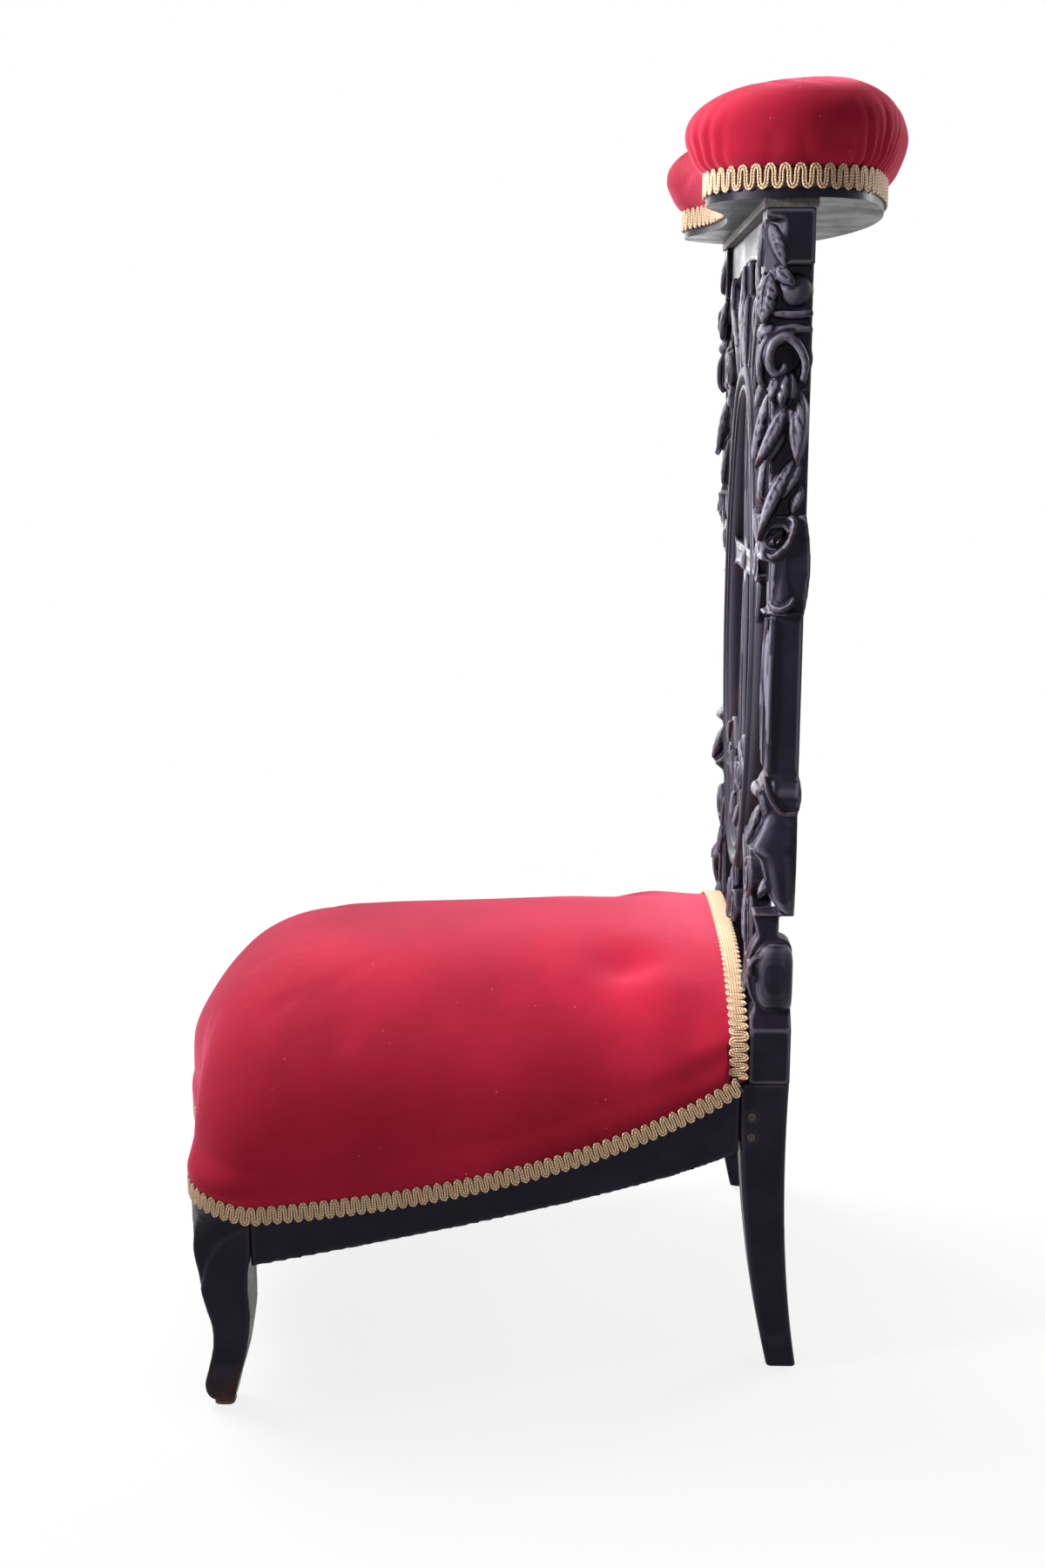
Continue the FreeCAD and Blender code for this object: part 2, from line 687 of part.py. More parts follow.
def seat_form(shrink):
    """Stuffed seat: full sides drawn in at the rails, round front, level top, crowned rear edge."""
    wires = [seat_plan(shrink + 2, shrink + 1, 0, shrink + 1, SEAT_BASE_Z - SEAT_RISE / 2)]
    for turn in SEAT_TURNS:
        angle = math.radians(turn)
        roll = 1 - math.cos(angle)
        z = SEAT_BASE_Z + (SEAT_RISE - shrink) * math.sin(angle)
        side = SEAT_SIDE_ROLL * roll - SEAT_SWELL + shrink
        flank = SEAT_FLANK_ROLL * roll - SEAT_SWELL / 2 + shrink
        wires.append(seat_plan(side, SEAT_FRONT_ROLL * roll - 1 + shrink, SEAT_REAR_ROLL * roll, flank, z))
    form = skin([stepped(wire, SEAT_STEPS) for wire in wires])
    form.rotate(V(0, SEAT_REAR_Y, REAR_RAIL_TOP), V(1, 0, 0), SEAT_TILT)
    form = form.cut(below_braid(GIMP_WIDTH + CLEAR))
    form = form.cut(box(-SHEET, SHEET, SEAT_REAR_Y - shrink, SHEET, 0, SHEET))
    margin = SEAT_REAR_Y - GIMP_WIDTH - 2 * CLEAR - shrink
    right, left = V(REAR_HALF, margin, REAR_BRAID_Z - shrink), V(-REAR_HALF, margin, REAR_BRAID_Z - shrink)
    roof = [rear_arch(margin, -shrink), line(right, V(SHEET, margin, right.z)),
            line(V(SHEET, margin, right.z), V(SHEET, margin, SHEET)),
            line(V(SHEET, margin, SHEET), V(-SHEET, margin, SHEET)),
            line(V(-SHEET, margin, SHEET), V(-SHEET, margin, left.z)), line(V(-SHEET, margin, left.z), left)]
    form = form.cut(prism(roof, V(0, SHEET, 0)))
    flank = box(REAR_HALF - CLEAR - shrink, SHEET, margin, SHEET, 0, SHEET)
    return form.cut(flank).cut(mirrored(flank))


def seat_cover():
    """Velvet cover over the stuffing."""
    return seat_form(0).cut(seat_form(COVER_THICK))


def seat_stuffing():
    """Stuffing under the cover, filling the frame down to the hessian."""
    well = prism(well_plan(0), V(0, 0, RAIL_TOP_FRONT + 2 * GIMP_WIDTH))
    well = well.cut(deck_slab(HESSIAN_THICK + CLEAR - SHEET, SHEET))
    return join(seat_form(COVER_THICK + CLEAR), well)


def seat_braid():
    """Braid round the front and sides, glued over the edge of the cover."""
    ring = plan_prism(-GIMP_THICK, FRONT_RAIL_BOTTOM, LEG_TOP + 60).cut(
        plan_prism(0, FRONT_RAIL_BOTTOM, LEG_TOP + 60))
    ring = ring.common(below_braid(GIMP_WIDTH)).cut(below_braid(0))
    return ring.common(box(-SHEET, SHEET, -SHEET, LEG_FRONT_Y - CLEAR, 0, SHEET))


def rear_braid():
    """Braid along the rear margin of the seat, turned down at both ends in front of the stiles."""
    y0 = SEAT_REAR_Y - GIMP_WIDTH
    top = REAR_BRAID_Z + CLEAR + GIMP_THICK
    ends = [line(V(x, y0, REAR_BRAID_Z + CLEAR), V(x, y0, top)) for x in (-REAR_HALF, REAR_HALF)]
    flat = prism([rear_arch(y0, CLEAR), rear_arch(y0, CLEAR + GIMP_THICK)] + ends, V(0, GIMP_WIDTH, 0))
    upright = box(REAR_HALF, REAR_HALF + GIMP_THICK, y0, SEAT_REAR_Y, GIMP_REAR_Z + GIMP_WIDTH + CLEAR, top)
    return join(flat, upright, mirrored(upright))


# Back

def stile_side_outline():
    """Side view of a stile: front edge upwards, then the rear edge down."""
    def at(depth, z):
        return V(0, BACK_Y - depth, z)

    deep = STILE_DEPTH
    tip = Z_FLARE + FLARE_TIP
    roundel = Z_ROUNDEL + ROUNDEL_RADIUS
    front = [
        line(at(deep, LEG_TOP), at(deep, Z_BLOCK)),
        line(at(deep, Z_BLOCK), at(deep - 4, Z_SCROLL)),
        arc(at(deep - 4, Z_SCROLL), at(deep + 3, Z_SCROLL + SMALL_SCROLL * 0.45), at(deep - 5, Z_NECK)),
        line(at(deep - 5, Z_NECK), at(deep - 1, Z_FLARE)),
        line(at(deep - 1, Z_FLARE), at(deep + 4, tip)),
        arc(at(deep + 4, tip), at(deep - 5, tip + 9), at(deep - 7, Z_ROLL)),
        arc(at(deep - 7, Z_ROLL), at(deep - 3, Z_ROLL + ROLL / 2), at(deep - 7, Z_SHAFT)),
        line(at(deep - 7, Z_SHAFT), at(deep - 10, Z_BARREL)),
        line(at(deep - 10, Z_BARREL), at(deep - 2, Z_BARREL + 1)),
        arc(at(deep - 2, Z_BARREL + 1), at(deep, Z_BARREL + BARREL * 0.45), at(deep + 4, Z_LEAF)),
        arc(at(deep + 4, Z_LEAF), at(deep + 7, Z_LEAF + LEAF * 0.55), at(deep - 3, Z_ROUNDEL)),
        arc(at(deep - 3, Z_ROUNDEL), at(deep + 6, roundel), at(deep - 3, Z_BAND)),
        line(at(deep - 3, Z_BAND), at(deep - 3, Z_BUD)),
        arc(at(deep - 3, Z_BUD), at(deep - 1, Z_BUD + BUD / 2), at(deep - 4, Z_TOP_BLOCK)),
        line(at(deep - 4, Z_TOP_BLOCK), at(TOP_BLOCK_DEPTH, Z_TOP_BLOCK)),
        line(at(TOP_BLOCK_DEPTH, Z_TOP_BLOCK), at(TOP_BLOCK_DEPTH, STILE_TOP)),
    ]
    rear = [
        line(at(TOP_BLOCK_DEPTH, STILE_TOP), at(0, STILE_TOP)),
        line(at(0, STILE_TOP), at(0, Z_LEAF)),
        arc(at(0, Z_LEAF), at(-3, Z_BARREL + BARREL / 2), at(0, Z_BARREL)),
        line(at(0, Z_BARREL), at(0, Z_SHAFT)),
        arc(at(0, Z_SHAFT), at(-2, Z_ROLL + ROLL / 2), at(0, Z_ROLL)),
        line(at(0, Z_ROLL), at(0, Z_FLARE)),
        line(at(0, Z_FLARE), at(10, Z_FLARE)),
        line(at(10, Z_FLARE), at(10, Z_NECK)),
        arc(at(10, Z_NECK), at(3, Z_NECK - 3), at(0, Z_NECK - 10)),
        line(at(0, Z_NECK - 10), at(0, LEG_TOP)),
        line(at(0, LEG_TOP), at(deep, LEG_TOP)),
    ]
    return front + rear


def stile_front_outline():
    """Front view of a stile, alike on both sides of its centre line."""
    half = STILE_WIDTH / 2
    roundel = Z_ROUNDEL + ROUNDEL_RADIUS

    def side(sign):
        def at(width, z):
            return V(STILE_X + sign * width, 0, z)

        return [
            line(at(half, LEG_TOP), at(half, Z_BLOCK)),
            line(at(half, Z_BLOCK), at(half - 3, Z_SCROLL)),
            arc(at(half - 3, Z_SCROLL), at(half, Z_SCROLL + SMALL_SCROLL / 2), at(half - 4, Z_NECK)),
            line(at(half - 4, Z_NECK), at(half - 4, Z_FLARE)),
            arc(at(half - 4, Z_FLARE), at(half, Z_FLARE + FLARE_TIP), at(half - 2, Z_ROLL)),
            arc(at(half - 2, Z_ROLL), at(half + 1.5, Z_ROLL + ROLL / 2), at(half - 3, Z_SHAFT)),
            line(at(half - 3, Z_SHAFT), at(half - 3, Z_BARREL)),
            arc(at(half - 3, Z_BARREL), at(half + 2, Z_BARREL + BARREL / 2), at(half - 2, Z_LEAF)),
            arc(at(half - 2, Z_LEAF), at(half - 4, Z_LEAF + LEAF / 2), at(half - 2, Z_ROUNDEL)),
            arc(at(half - 2, Z_ROUNDEL), at(half, roundel), at(half - 2, Z_BAND)),
            line(at(half - 2, Z_BAND), at(half - 2, Z_BUD)),
            arc(at(half - 2, Z_BUD), at(half, Z_BUD + BUD / 2), at(half - 2, Z_TOP_BLOCK)),
            line(at(half - 2, Z_TOP_BLOCK), at(half, Z_TOP_BLOCK)),
            line(at(half, Z_TOP_BLOCK), at(half, STILE_TOP)),
        ]

    top = line(V(STILE_X - half, 0, STILE_TOP), V(STILE_X + half, 0, STILE_TOP))
    bottom = line(V(STILE_X - half, 0, LEG_TOP), V(STILE_X + half, 0, LEG_TOP))
    return side(1) + side(-1) + [top, bottom]


def top_tenon():
    """Tenon of the top rail in the right stile."""
    y = BACK_Y - TOP_BLOCK_DEPTH / 2
    return box(STILE_INNER - 4, STILE_INNER + TENON_LENGTH - 2, y - TENON_THICK / 2, y + TENON_THICK / 2,
               Z_TOP_BLOCK + TENON_SHOULDER, STILE_TOP - TENON_SHOULDER)


def stile():
    """Carved stile: blocks, scrolls, shaft, barrel scroll, roundel and bud, one above the other."""
    side = prism(stile_side_outline(), V(SHEET, 0, 0))
    front = prism(stile_front_outline(), V(0, SHEET, 0))
    post = side.common(front)
    roundel_y = BACK_Y - STILE_DEPTH / 2 - 2
    roundel_z = Z_ROUNDEL + ROUNDEL_RADIUS
    half = STILE_WIDTH / 2 + VOLUTE_PROUD
    disc = drill(V(STILE_X - half, roundel_y, roundel_z), V(1, 0, 0), ROUNDEL_RADIUS - 2, 2 * half)
    post = join(post, disc)
    eye = V(STILE_X + half, roundel_y - 2, roundel_z)
    post = post.cut(drill(eye, V(-1, 0, 0), EYE_RADIUS, EYE_DEPTH))
    mouth = V(STILE_X, BACK_Y - STILE_DEPTH + 8, Z_LEAF - 20)
    post = post.cut(drill(mouth, V(0, -1, 1), STILE_WIDTH / 3, 2 * STILE_DEPTH))
    return post.cut(stile_dowel()).cut(top_tenon())


def top_rail():
    """Rail under the armrest with an arched lower edge."""
    y = BACK_Y - TOP_BLOCK_DEPTH / 2 - TOP_RAIL_DEPTH / 2
    a = V(-STILE_INNER, y, STILE_TOP)
    b = V(STILE_INNER, y, STILE_TOP)
    c = V(STILE_INNER, y, STILE_TOP - TOP_RAIL_END)
    d = V(-STILE_INNER, y, STILE_TOP - TOP_RAIL_END)
    crown = V(0, y, STILE_TOP - TOP_RAIL_MIDDLE)
    rail = prism([line(a, b), line(b, c), arc(c, crown, d), line(d, a)], V(0, TOP_RAIL_DEPTH, 0))
    tenon = top_tenon()
    return join(rail, tenon, mirrored(tenon))


def oval(grow, y, depth):
    """Upright oval disc about the middle of the panel, drawn with four arcs that run into each other."""
    high = OVAL_HALF_HEIGHT
    wide = OVAL_HALF_WIDTH
    end_radius = OVAL_END_SHARE * wide
    side_radius = (high ** 2 + wide ** 2 - 2 * high * end_radius) / (2 * (wide - end_radius))
    end = V(0, 0, high - end_radius)
    away = (end - V(wide - side_radius, 0, 0)).normalize()
    joint = end + away * (end_radius + grow)

    def at(point, across, up):
        return V(point.x * across, y, OVAL_Z + point.z * up)

    top = V(0, 0, high + grow)
    side = V(wide + grow, 0, 0)
    rim = [
        arc(at(joint, -1, 1), at(top, 1, 1), at(joint, 1, 1)),
        arc(at(joint, 1, 1), at(side, 1, 1), at(joint, 1, -1)),
        arc(at(joint, 1, -1), at(top, 1, -1), at(joint, -1, -1)),
        arc(at(joint, -1, -1), at(side, -1, 1), at(joint, -1, 1)),
    ]
    return prism(rim, V(0, depth, 0))


def oval_frame():
    """Moulded oval frame: flat band with a raised outer bead."""
    band = oval(0, PANEL_Y, PANEL_THICK).cut(oval(-OVAL_BAND, PANEL_Y, PANEL_THICK))
    bead = oval(0, PANEL_Y - OVAL_BEAD, OVAL_BEAD).cut(oval(-OVAL_BAND / 2, PANEL_Y - OVAL_BEAD, OVAL_BEAD))
    frame = join(band, bead)
    return frame.cut(cross_tenons())


def cross_y():
    return PANEL_Y + (PANEL_THICK - CROSS_THICK) / 2


def cross_tenons():
    """Stub tenons of the cross in the top and bottom of the oval."""
    y = cross_y() + CROSS_THICK / 4
    half = CROSS_WIDTH / 3
    inner_top = OVAL_TOP - OVAL_BAND
    inner_bottom = OVAL_BOTTOM + OVAL_BAND
    upper = box(-half, half, y, y + CROSS_THICK / 2, inner_top - 4, inner_top + CROSS_TENON)
    lower = box(-half, half, y, y + CROSS_THICK / 2, inner_bottom - CROSS_TENON, inner_bottom + 4)
    return upper.fuse(lower)


def cross():
    """Latin cross with flared ends, filling the oval from rim to rim."""
    def arm(direction, length):
        across = V(direction.z, 0, -direction.x)
        root = V(0, cross_y(), CROSS_ARM_Z)
        neck = root + direction * (length - CROSS_FLARE_RUN)
        bend = root + direction * (length - CROSS_FLARE_RUN * 0.4)
        end = root + direction * length
        w = CROSS_WIDTH / 2
        f = CROSS_FLARE / 2
        edges = [
            line(root - across * w, neck - across * w),
            bezier(neck - across * w, bend - across * w, end - across * f),
            line(end - across * f, end + across * f),
            bezier(end + across * f, bend + across * w, neck + across * w),
            line(neck + across * w, root + across * w),
            line(root + across * w, root - across * w),
        ]
        return prism(edges, V(0, CROSS_THICK, 0))

    heart = box(-CROSS_WIDTH / 2, CROSS_WIDTH / 2, cross_y(), cross_y() + CROSS_THICK,
                CROSS_ARM_Z - CROSS_WIDTH / 2, CROSS_ARM_Z + CROSS_WIDTH / 2)
    shape = join(heart, arm(V(0, 0, 1), OVAL_TOP - CROSS_ARM_Z), arm(V(0, 0, -1), CROSS_ARM_Z - OVAL_BOTTOM),
                 arm(V(1, 0, 0), OVAL_HALF_WIDTH), arm(V(-1, 0, 0), OVAL_HALF_WIDTH))
    shape = shape.common(oval(-OVAL_BAND - 0.05, PANEL_Y - 10, PANEL_THICK + 20))
    return join(shape, cross_tenons())


def ribbon(points, start_width, end_width, swell=0.0):
    """Flat carved ribbon in the panel along arcs that run into each other, its width changing evenly."""
    spots = [V(x, PANEL_Y, z) for x, z in points]
    first = (spots[1] - spots[0]).normalize()
    second = (spots[2] - spots[0]).normalize()
    third = (spots[2] - spots[1]).normalize()
    heading = first + second - third
    count = len(spots) - 1
    left, right = [], []

    def stations(spot, direction, share):
        across = V(-direction.z, 0, direction.x)
        half = (start_width + share * (end_width - start_width)) / 2 + swell * math.sin(math.pi * share)
        left.append(spot + across * half)
        right.append(spot - across * half)

    heading = heading.normalize()
    for i in range(count):
        chord = spots[i + 1] - spots[i]
        along = V(chord).normalize()
        turn = math.atan2(along.x * heading.z - along.z * heading.x, along.dot(heading))
        bulge = V(-along.z, 0, along.x) * (chord.Length / 2 * math.tan(turn / 2))
        stations(spots[i], heading, i / count)
        stations((spots[i] + spots[i + 1]) * 0.5 + bulge, along, (i + 0.5) / count)
        heading = along * (2 * along.dot(heading)) - heading
    stations(spots[-1], heading, 1)

    def edge(side):
        return [bend(side[2 * i], side[2 * i + 1], side[2 * i + 2]) for i in range(count)]

    ends = [line(left[-1], right[-1]), line(right[0], left[0])]
    return prism(edge(left) + edge(right) + ends, V(0, PANEL_THICK, 0))


def volute(x, z, radius):
    """Scroll end: a disc proud of the panel."""
    return drill(V(x, PANEL_Y - VOLUTE_PROUD, z), V(0, 1, 0), radius, PANEL_THICK + VOLUTE_PROUD)


def scroll(points, start_width, end_width, volutes, swell=0.0):
    """Ribbon with a volute at each named end, as one carved piece."""
    body = ribbon(points, start_width, end_width, swell)
    return join(body, *[volute(x, z, radius) for x, z, radius in volutes])


def oval_edge(angle, grow=0.0):
    """Point on the oval's rim, by angle from the right-hand end of its width."""
    a = math.radians(angle)
    return (OVAL_HALF_WIDTH + grow) * math.cos(a), OVAL_Z + (OVAL_HALF_HEIGHT + grow) * math.sin(a)


def within_stiles(shape):
    """Trim a carved piece where it meets the stiles, the top rail and the rear seat rail."""
    shape = shape.common(box(-REAR_HALF, REAR_HALF, 0, SHEET, REAR_RAIL_TOP, 2 * SHEET))
    post = stile()
    return shape.cut(post).cut(mirrored(post))


def upper_scroll():
    """Right-hand ribbon from the oval's shoulder to the top rail, curled at its outer end."""
    x0, z0 = oval_edge(66, -4)
    x1 = STILE_INNER - 28
    z1 = Z_ROUNDEL + ROUNDEL_RADIUS
    points = [(x0, z0), (x0 + 24, z0 + 34), (x1 - 6, z1 + 36), (STILE_INNER - 10, z1 + 4)]
    piece = scroll(points, 16, 11, [(STILE_INNER - 15, z1 - 2, 14)], 2.0)
    rise = ribbon([(x1 - 6, z1 + 30), (x1 - 14, z1 + 48), (x1 - 10, STILE_TOP - 24)], 12, 20)
    piece = join(piece, rise)
    piece = piece.cut(oval(0, 0, SHEET)).cut(top_rail())
    return within_stiles(piece)


def crest():
    """Palmette between the oval and the middle of the top rail."""
    z0 = OVAL_TOP - 6
    z1 = STILE_TOP - TOP_RAIL_MIDDLE + 2
    middle = ribbon([(0, z0), (0, (z0 + z1) / 2), (0, z1)], 18, 14, 4.0)
    lobes = []
    for sign in (1, -1):
        lobes.append(ribbon([(sign * 4, z0), (sign * 20, z0 + 26), (sign * 34, z0 + 56)], 14, 6, 4.0))
    piece = join(middle, *lobes)
    return piece.cut(oval(0, 0, SHEET)).cut(top_rail())


def side_scroll():
    """Right-hand bridge between the oval's waist and the barrel scroll of the stile."""
    x0, z0 = oval_edge(14, -4)
    z1 = Z_BARREL + BARREL / 2
    gap = STILE_INNER - x0
    points = [(x0, z0 - 34), (x0 + 0.32 * gap, z0 - 4), (x0 + 0.2 * gap, z1 + 34)]
    piece = scroll(points, 12, 12, [(x0 + 0.67 * gap, z1, 0.36 * gap)], 3.0)
    return within_stiles(piece.cut(oval(0, 0, SHEET)))


def lower_scroll():
    """Right-hand S-scroll from the oval's lower flank down to its foot on the rear seat rail."""
    x0, z0 = oval_edge(-52, -4)
    foot_x = STILE_INNER - 16
    knee = (x0 + 0.6 * (foot_x - x0), z0 - 0.18 * (z0 - REAR_RAIL_TOP))
    ankle = (foot_x - 10, REAR_RAIL_TOP + 0.4 * (z0 - REAR_RAIL_TOP))
    points = [(x0, z0), knee, ankle, (foot_x, REAR_RAIL_TOP - 4)]
    volutes = [(foot_x + 1, Z_FLARE + FLARE_TIP - 30, 14.5)]
    piece = scroll(points, 14, 26, volutes, 3.0)
    return within_stiles(piece.cut(oval(0, 0, SHEET)))


def middle_foot():
    """Carved foot under the oval, splayed on the rear seat rail."""
    z0 = OVAL_BOTTOM + 6
    stem = ribbon([(0, z0), (0, (z0 + REAR_RAIL_TOP) / 2), (0, REAR_RAIL_TOP - 2)], 30, 46, -9.0)
    curls = [volute(sign * 20, OVAL_BOTTOM - 30, 13) for sign in (1, -1)]
    piece = join(stem, *curls)
    return within_stiles(piece.cut(oval(0, 0, SHEET)))


def inner_scroll():
    """Right-hand leafy scroll between the foot of the cross and the oval."""
    x0, z0 = oval_edge(-40, -OVAL_BAND + 4)
    points = [(x0, z0), (x0 - 26, z0 + 24), (x0 - 52, z0 + 6), (x0 - 50, z0 - 26),
              (CROSS_WIDTH / 2 - 2, z0 - 46)]
    piece = scroll(points, 14, 10, [(x0 - 36, z0 + 2, 11)], 2.0)
    return piece.common(oval(-OVAL_BAND, 0, SHEET)).cut(cross())


# Armrest

def arm_plan(grow, z):
    """Kidney outline of the armrest at one height: four arcs that run into each other, offset by grow."""
    end = V(ARM_HALF - ARM_END_RADIUS, ARM_END_Y, z)
    ahead = ARM_END_Y - ARM_HOLLOW_Y
    behind = ARM_FULL_Y - ARM_END_Y
    front_radius = (end.x ** 2 + ahead ** 2 - ARM_END_RADIUS ** 2) / (2 * (ARM_END_RADIUS - ahead))
    rear_radius = (end.x ** 2 + behind ** 2 - ARM_END_RADIUS ** 2) / (2 * (behind - ARM_END_RADIUS))
    front = V(0, ARM_HOLLOW_Y - front_radius, z)
    rear = V(0, ARM_FULL_Y - rear_radius, z)
    to_front = (front - end).normalize()
    to_rear = (end - rear).normalize()
    a = end + to_front * (ARM_END_RADIUS + grow)
    b = end + V(1, 0, 0) * (ARM_END_RADIUS + grow)
    c = end + to_rear * (ARM_END_RADIUS + grow)

    def flip(p):
        return V(-p.x, p.y, p.z)

    return closed([
        arc(flip(a), V(0, ARM_HOLLOW_Y - grow, z), a),
        arc(a, end + (to_front + V(1, 0, 0)).normalize() * (ARM_END_RADIUS + grow), b),
        arc(b, end + (to_rear + V(1, 0, 0)).normalize() * (ARM_END_RADIUS + grow), c),
        arc(c, V(0, ARM_FULL_Y + grow, z), flip(c)),
        arc(flip(c), flip(end + (to_rear + V(1, 0, 0)).normalize() * (ARM_END_RADIUS + grow)), flip(b)),
        arc(flip(b), flip(end + (to_front + V(1, 0, 0)).normalize() * (ARM_END_RADIUS + grow)), flip(a)),
    ])


def arm_prism(grow, z0, z1):
    return Part.Face(arm_plan(grow, z0)).extrude(V(0, 0, z1 - z0))


def arm_form(shrink):
    """Domed pad, fuller than the board under it and drawn in at the braid."""
    wires = []
    for turn in ARM_TURNS:
        angle = math.radians(turn)
        grow = ARM_OVERHANG - ARM_ROLL * (1 - math.cos(angle)) - shrink
        rise = ARM_PAD - ARM_WAIST - shrink if turn > 0 else ARM_LOWER_ROLL
        wires.append(stepped(arm_plan(grow, PAD_Z + ARM_WAIST + rise * math.sin(angle)), ARM_STEPS))
    form = skin(wires)
    return form.cut(box(-SHEET, SHEET, 0, SHEET, 0, PAD_Z + CLEAR))


def arm_dowels():
    """Dowels from the board into the stiles and the top rail."""
    y = BACK_Y - TOP_BLOCK_DEPTH / 2 - 1
    inner = STILE_INNER / 2.5
    outer = STILE_X
    return [whittled_peg(V(x, y, PAD_Z - 4), V(0, 0, -1), DOWEL_RADIUS, ARM_DOWEL_LENGTH)
            for x in (-outer, -inner, inner, outer)]


def arm_board():
    """Kidney board under the pad."""
    return cut_all(arm_prism(0, BOARD_Z, PAD_Z), arm_dowels())


def arm_braid():
    z = BOARD_Z + ARM_GIMP_LIFT
    top = PAD_Z
    return arm_prism(GIMP_THICK, z, top).cut(arm_prism(0, z, top))


def cleat():
    """Thin filler strip between the top of the back and the board."""
    y = BACK_Y - TOP_BLOCK_DEPTH / 2
    return box(-REAR_HALF, REAR_HALF, y - CLEAT_DEPTH / 2, y + CLEAT_DEPTH / 2, STILE_TOP, BOARD_Z)


def cut_all(shape, tools):
    for tool in tools:
        shape = shape.cut(tool)
    return shape


def build():
    """Make every piece and write it under its own name."""
    pair = {
        "rear_leg": rear_leg(),
        "front_leg": front_leg(),
        "side_seat_rail": cut_all(side_rail(), webbing_tacks()),
        "back_stile": cut_all(stile(), arm_dowels()),
        "upper_scroll": upper_scroll(),
        "side_scroll": side_scroll(),
        "lower_scroll": lower_scroll(),
        "inner_scroll": inner_scroll(),
    }
    for name, shape in pair.items():
        save(name + "_right", shape)
        save(name + "_left", mirrored(shape))
    for end, front in (("front", True), ("rear", False)):
        block = corner_block(front)
        save("corner_block_" + end + "_right", block)
        save("corner_block_" + end + "_left", mirrored(block))
    save("front_seat_rail", cut_all(front_rail(), webbing_tacks()))
    save("rear_seat_rail", cut_all(rear_rail(), webbing_tacks()))
    save("foot_glides", foot_glides())
    peg_pair = pegs()
    save("rail_pegs", Part.makeCompound(peg_pair + [mirrored(p) for p in peg_pair]))
    dowel = stile_dowel()
    save("stile_dowels", Part.makeCompound([dowel, mirrored(dowel)]))
    save("back_top_rail", cut_all(top_rail(), arm_dowels()))
    save("back_oval_frame", oval_frame())
    save("back_cross", cross())
    save("back_crest", crest())
    save("back_middle_foot", middle_foot())
    save("armrest_cleat", cut_all(cleat(), arm_dowels()))
    save("armrest_board", arm_board())
    save("armrest_dowels", Part.makeCompound(arm_dowels()))
    save("armrest_braid", arm_braid())
    save("armrest_cover", arm_form(0).cut(arm_form(COVER_THICK)))
    save("armrest_stuffing", arm_form(COVER_THICK + CLEAR))
    tacks = webbing_tacks()
    save("webbing_tacks", Part.makeCompound(tacks))
    save("webbing_lengthwise", Part.makeCompound([cut_all(strap, tacks) for strap in web_lengthwise()]))
    save("webbing_crosswise", Part.makeCompound([cut_all(strap, tacks) for strap in web_crosswise()]))
    save("seat_cover", seat_cover())
    save("seat_stuffing", seat_stuffing())
    save("seat_hessian", hessian())
    save("seat_braid", seat_braid())
    save("seat_rear_braid", rear_braid())


build()
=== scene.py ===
"""Looks of a carved prie-dieu chair: ebonised frame, crimson velvet seat and armrest, serpentine gimp.

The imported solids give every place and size. Lengths are metres, +Z is up, -Y is the kneeling side and
+X is the right hand of a person kneeling on the seat. Sizes typed in millimetres are multiplied by MM.
"""
from __future__ import annotations

import json
import logging
from collections.abc import Callable, Sequence
from dataclasses import dataclass, field
from enum import Enum

import bmesh
import bpy
import numpy as np
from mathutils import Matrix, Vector

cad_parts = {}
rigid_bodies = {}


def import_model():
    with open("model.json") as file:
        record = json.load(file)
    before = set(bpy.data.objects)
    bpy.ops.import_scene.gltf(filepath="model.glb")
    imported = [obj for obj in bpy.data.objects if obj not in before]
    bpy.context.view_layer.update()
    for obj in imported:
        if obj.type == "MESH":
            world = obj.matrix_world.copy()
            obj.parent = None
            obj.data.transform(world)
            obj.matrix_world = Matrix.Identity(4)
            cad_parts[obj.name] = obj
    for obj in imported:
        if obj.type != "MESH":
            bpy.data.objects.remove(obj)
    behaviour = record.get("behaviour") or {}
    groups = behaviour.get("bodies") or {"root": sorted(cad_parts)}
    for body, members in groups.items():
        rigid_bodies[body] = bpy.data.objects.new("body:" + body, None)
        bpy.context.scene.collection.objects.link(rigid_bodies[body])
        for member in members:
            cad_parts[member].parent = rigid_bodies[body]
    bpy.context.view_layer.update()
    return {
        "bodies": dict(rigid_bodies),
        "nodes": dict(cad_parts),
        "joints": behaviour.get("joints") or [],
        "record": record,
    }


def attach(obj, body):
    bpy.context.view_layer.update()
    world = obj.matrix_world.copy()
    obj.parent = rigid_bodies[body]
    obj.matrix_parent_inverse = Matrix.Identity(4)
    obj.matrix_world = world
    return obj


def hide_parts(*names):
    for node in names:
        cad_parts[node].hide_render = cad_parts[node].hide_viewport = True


LOG = logging.getLogger("prie_dieu")
Array = np.ndarray
Piece = bpy.types.Object
Mesh = bpy.types.Mesh
Material = bpy.types.Material
Socket = bpy.types.NodeSocket
Spot = Sequence[float]
Table = tuple[tuple[float, ...], ...]
Colour = tuple[float, float, float, float]

MM = 0.001
BODY = "root"
SIDES = (("right", 1.0), ("left", -1.0))
MIRROR = np.array([-1.0, 1.0, 1.0])
KNEELING = (0.0, -1.0, 0.0)
UPWARDS = (0.0, 0.0, 1.0)
FREE = float("inf")
MERGE_DISTANCE = 2e-6
FOOT_WEAR = 1.3
FOOT_WEAR_HEIGHT = 34 * MM
TAPE_MARK = -5.0
FOOT_GAP = 0.7
FOOT_RUN = 10.0
FOOT_FADE = 24.0


# Surfaces as whole arrays


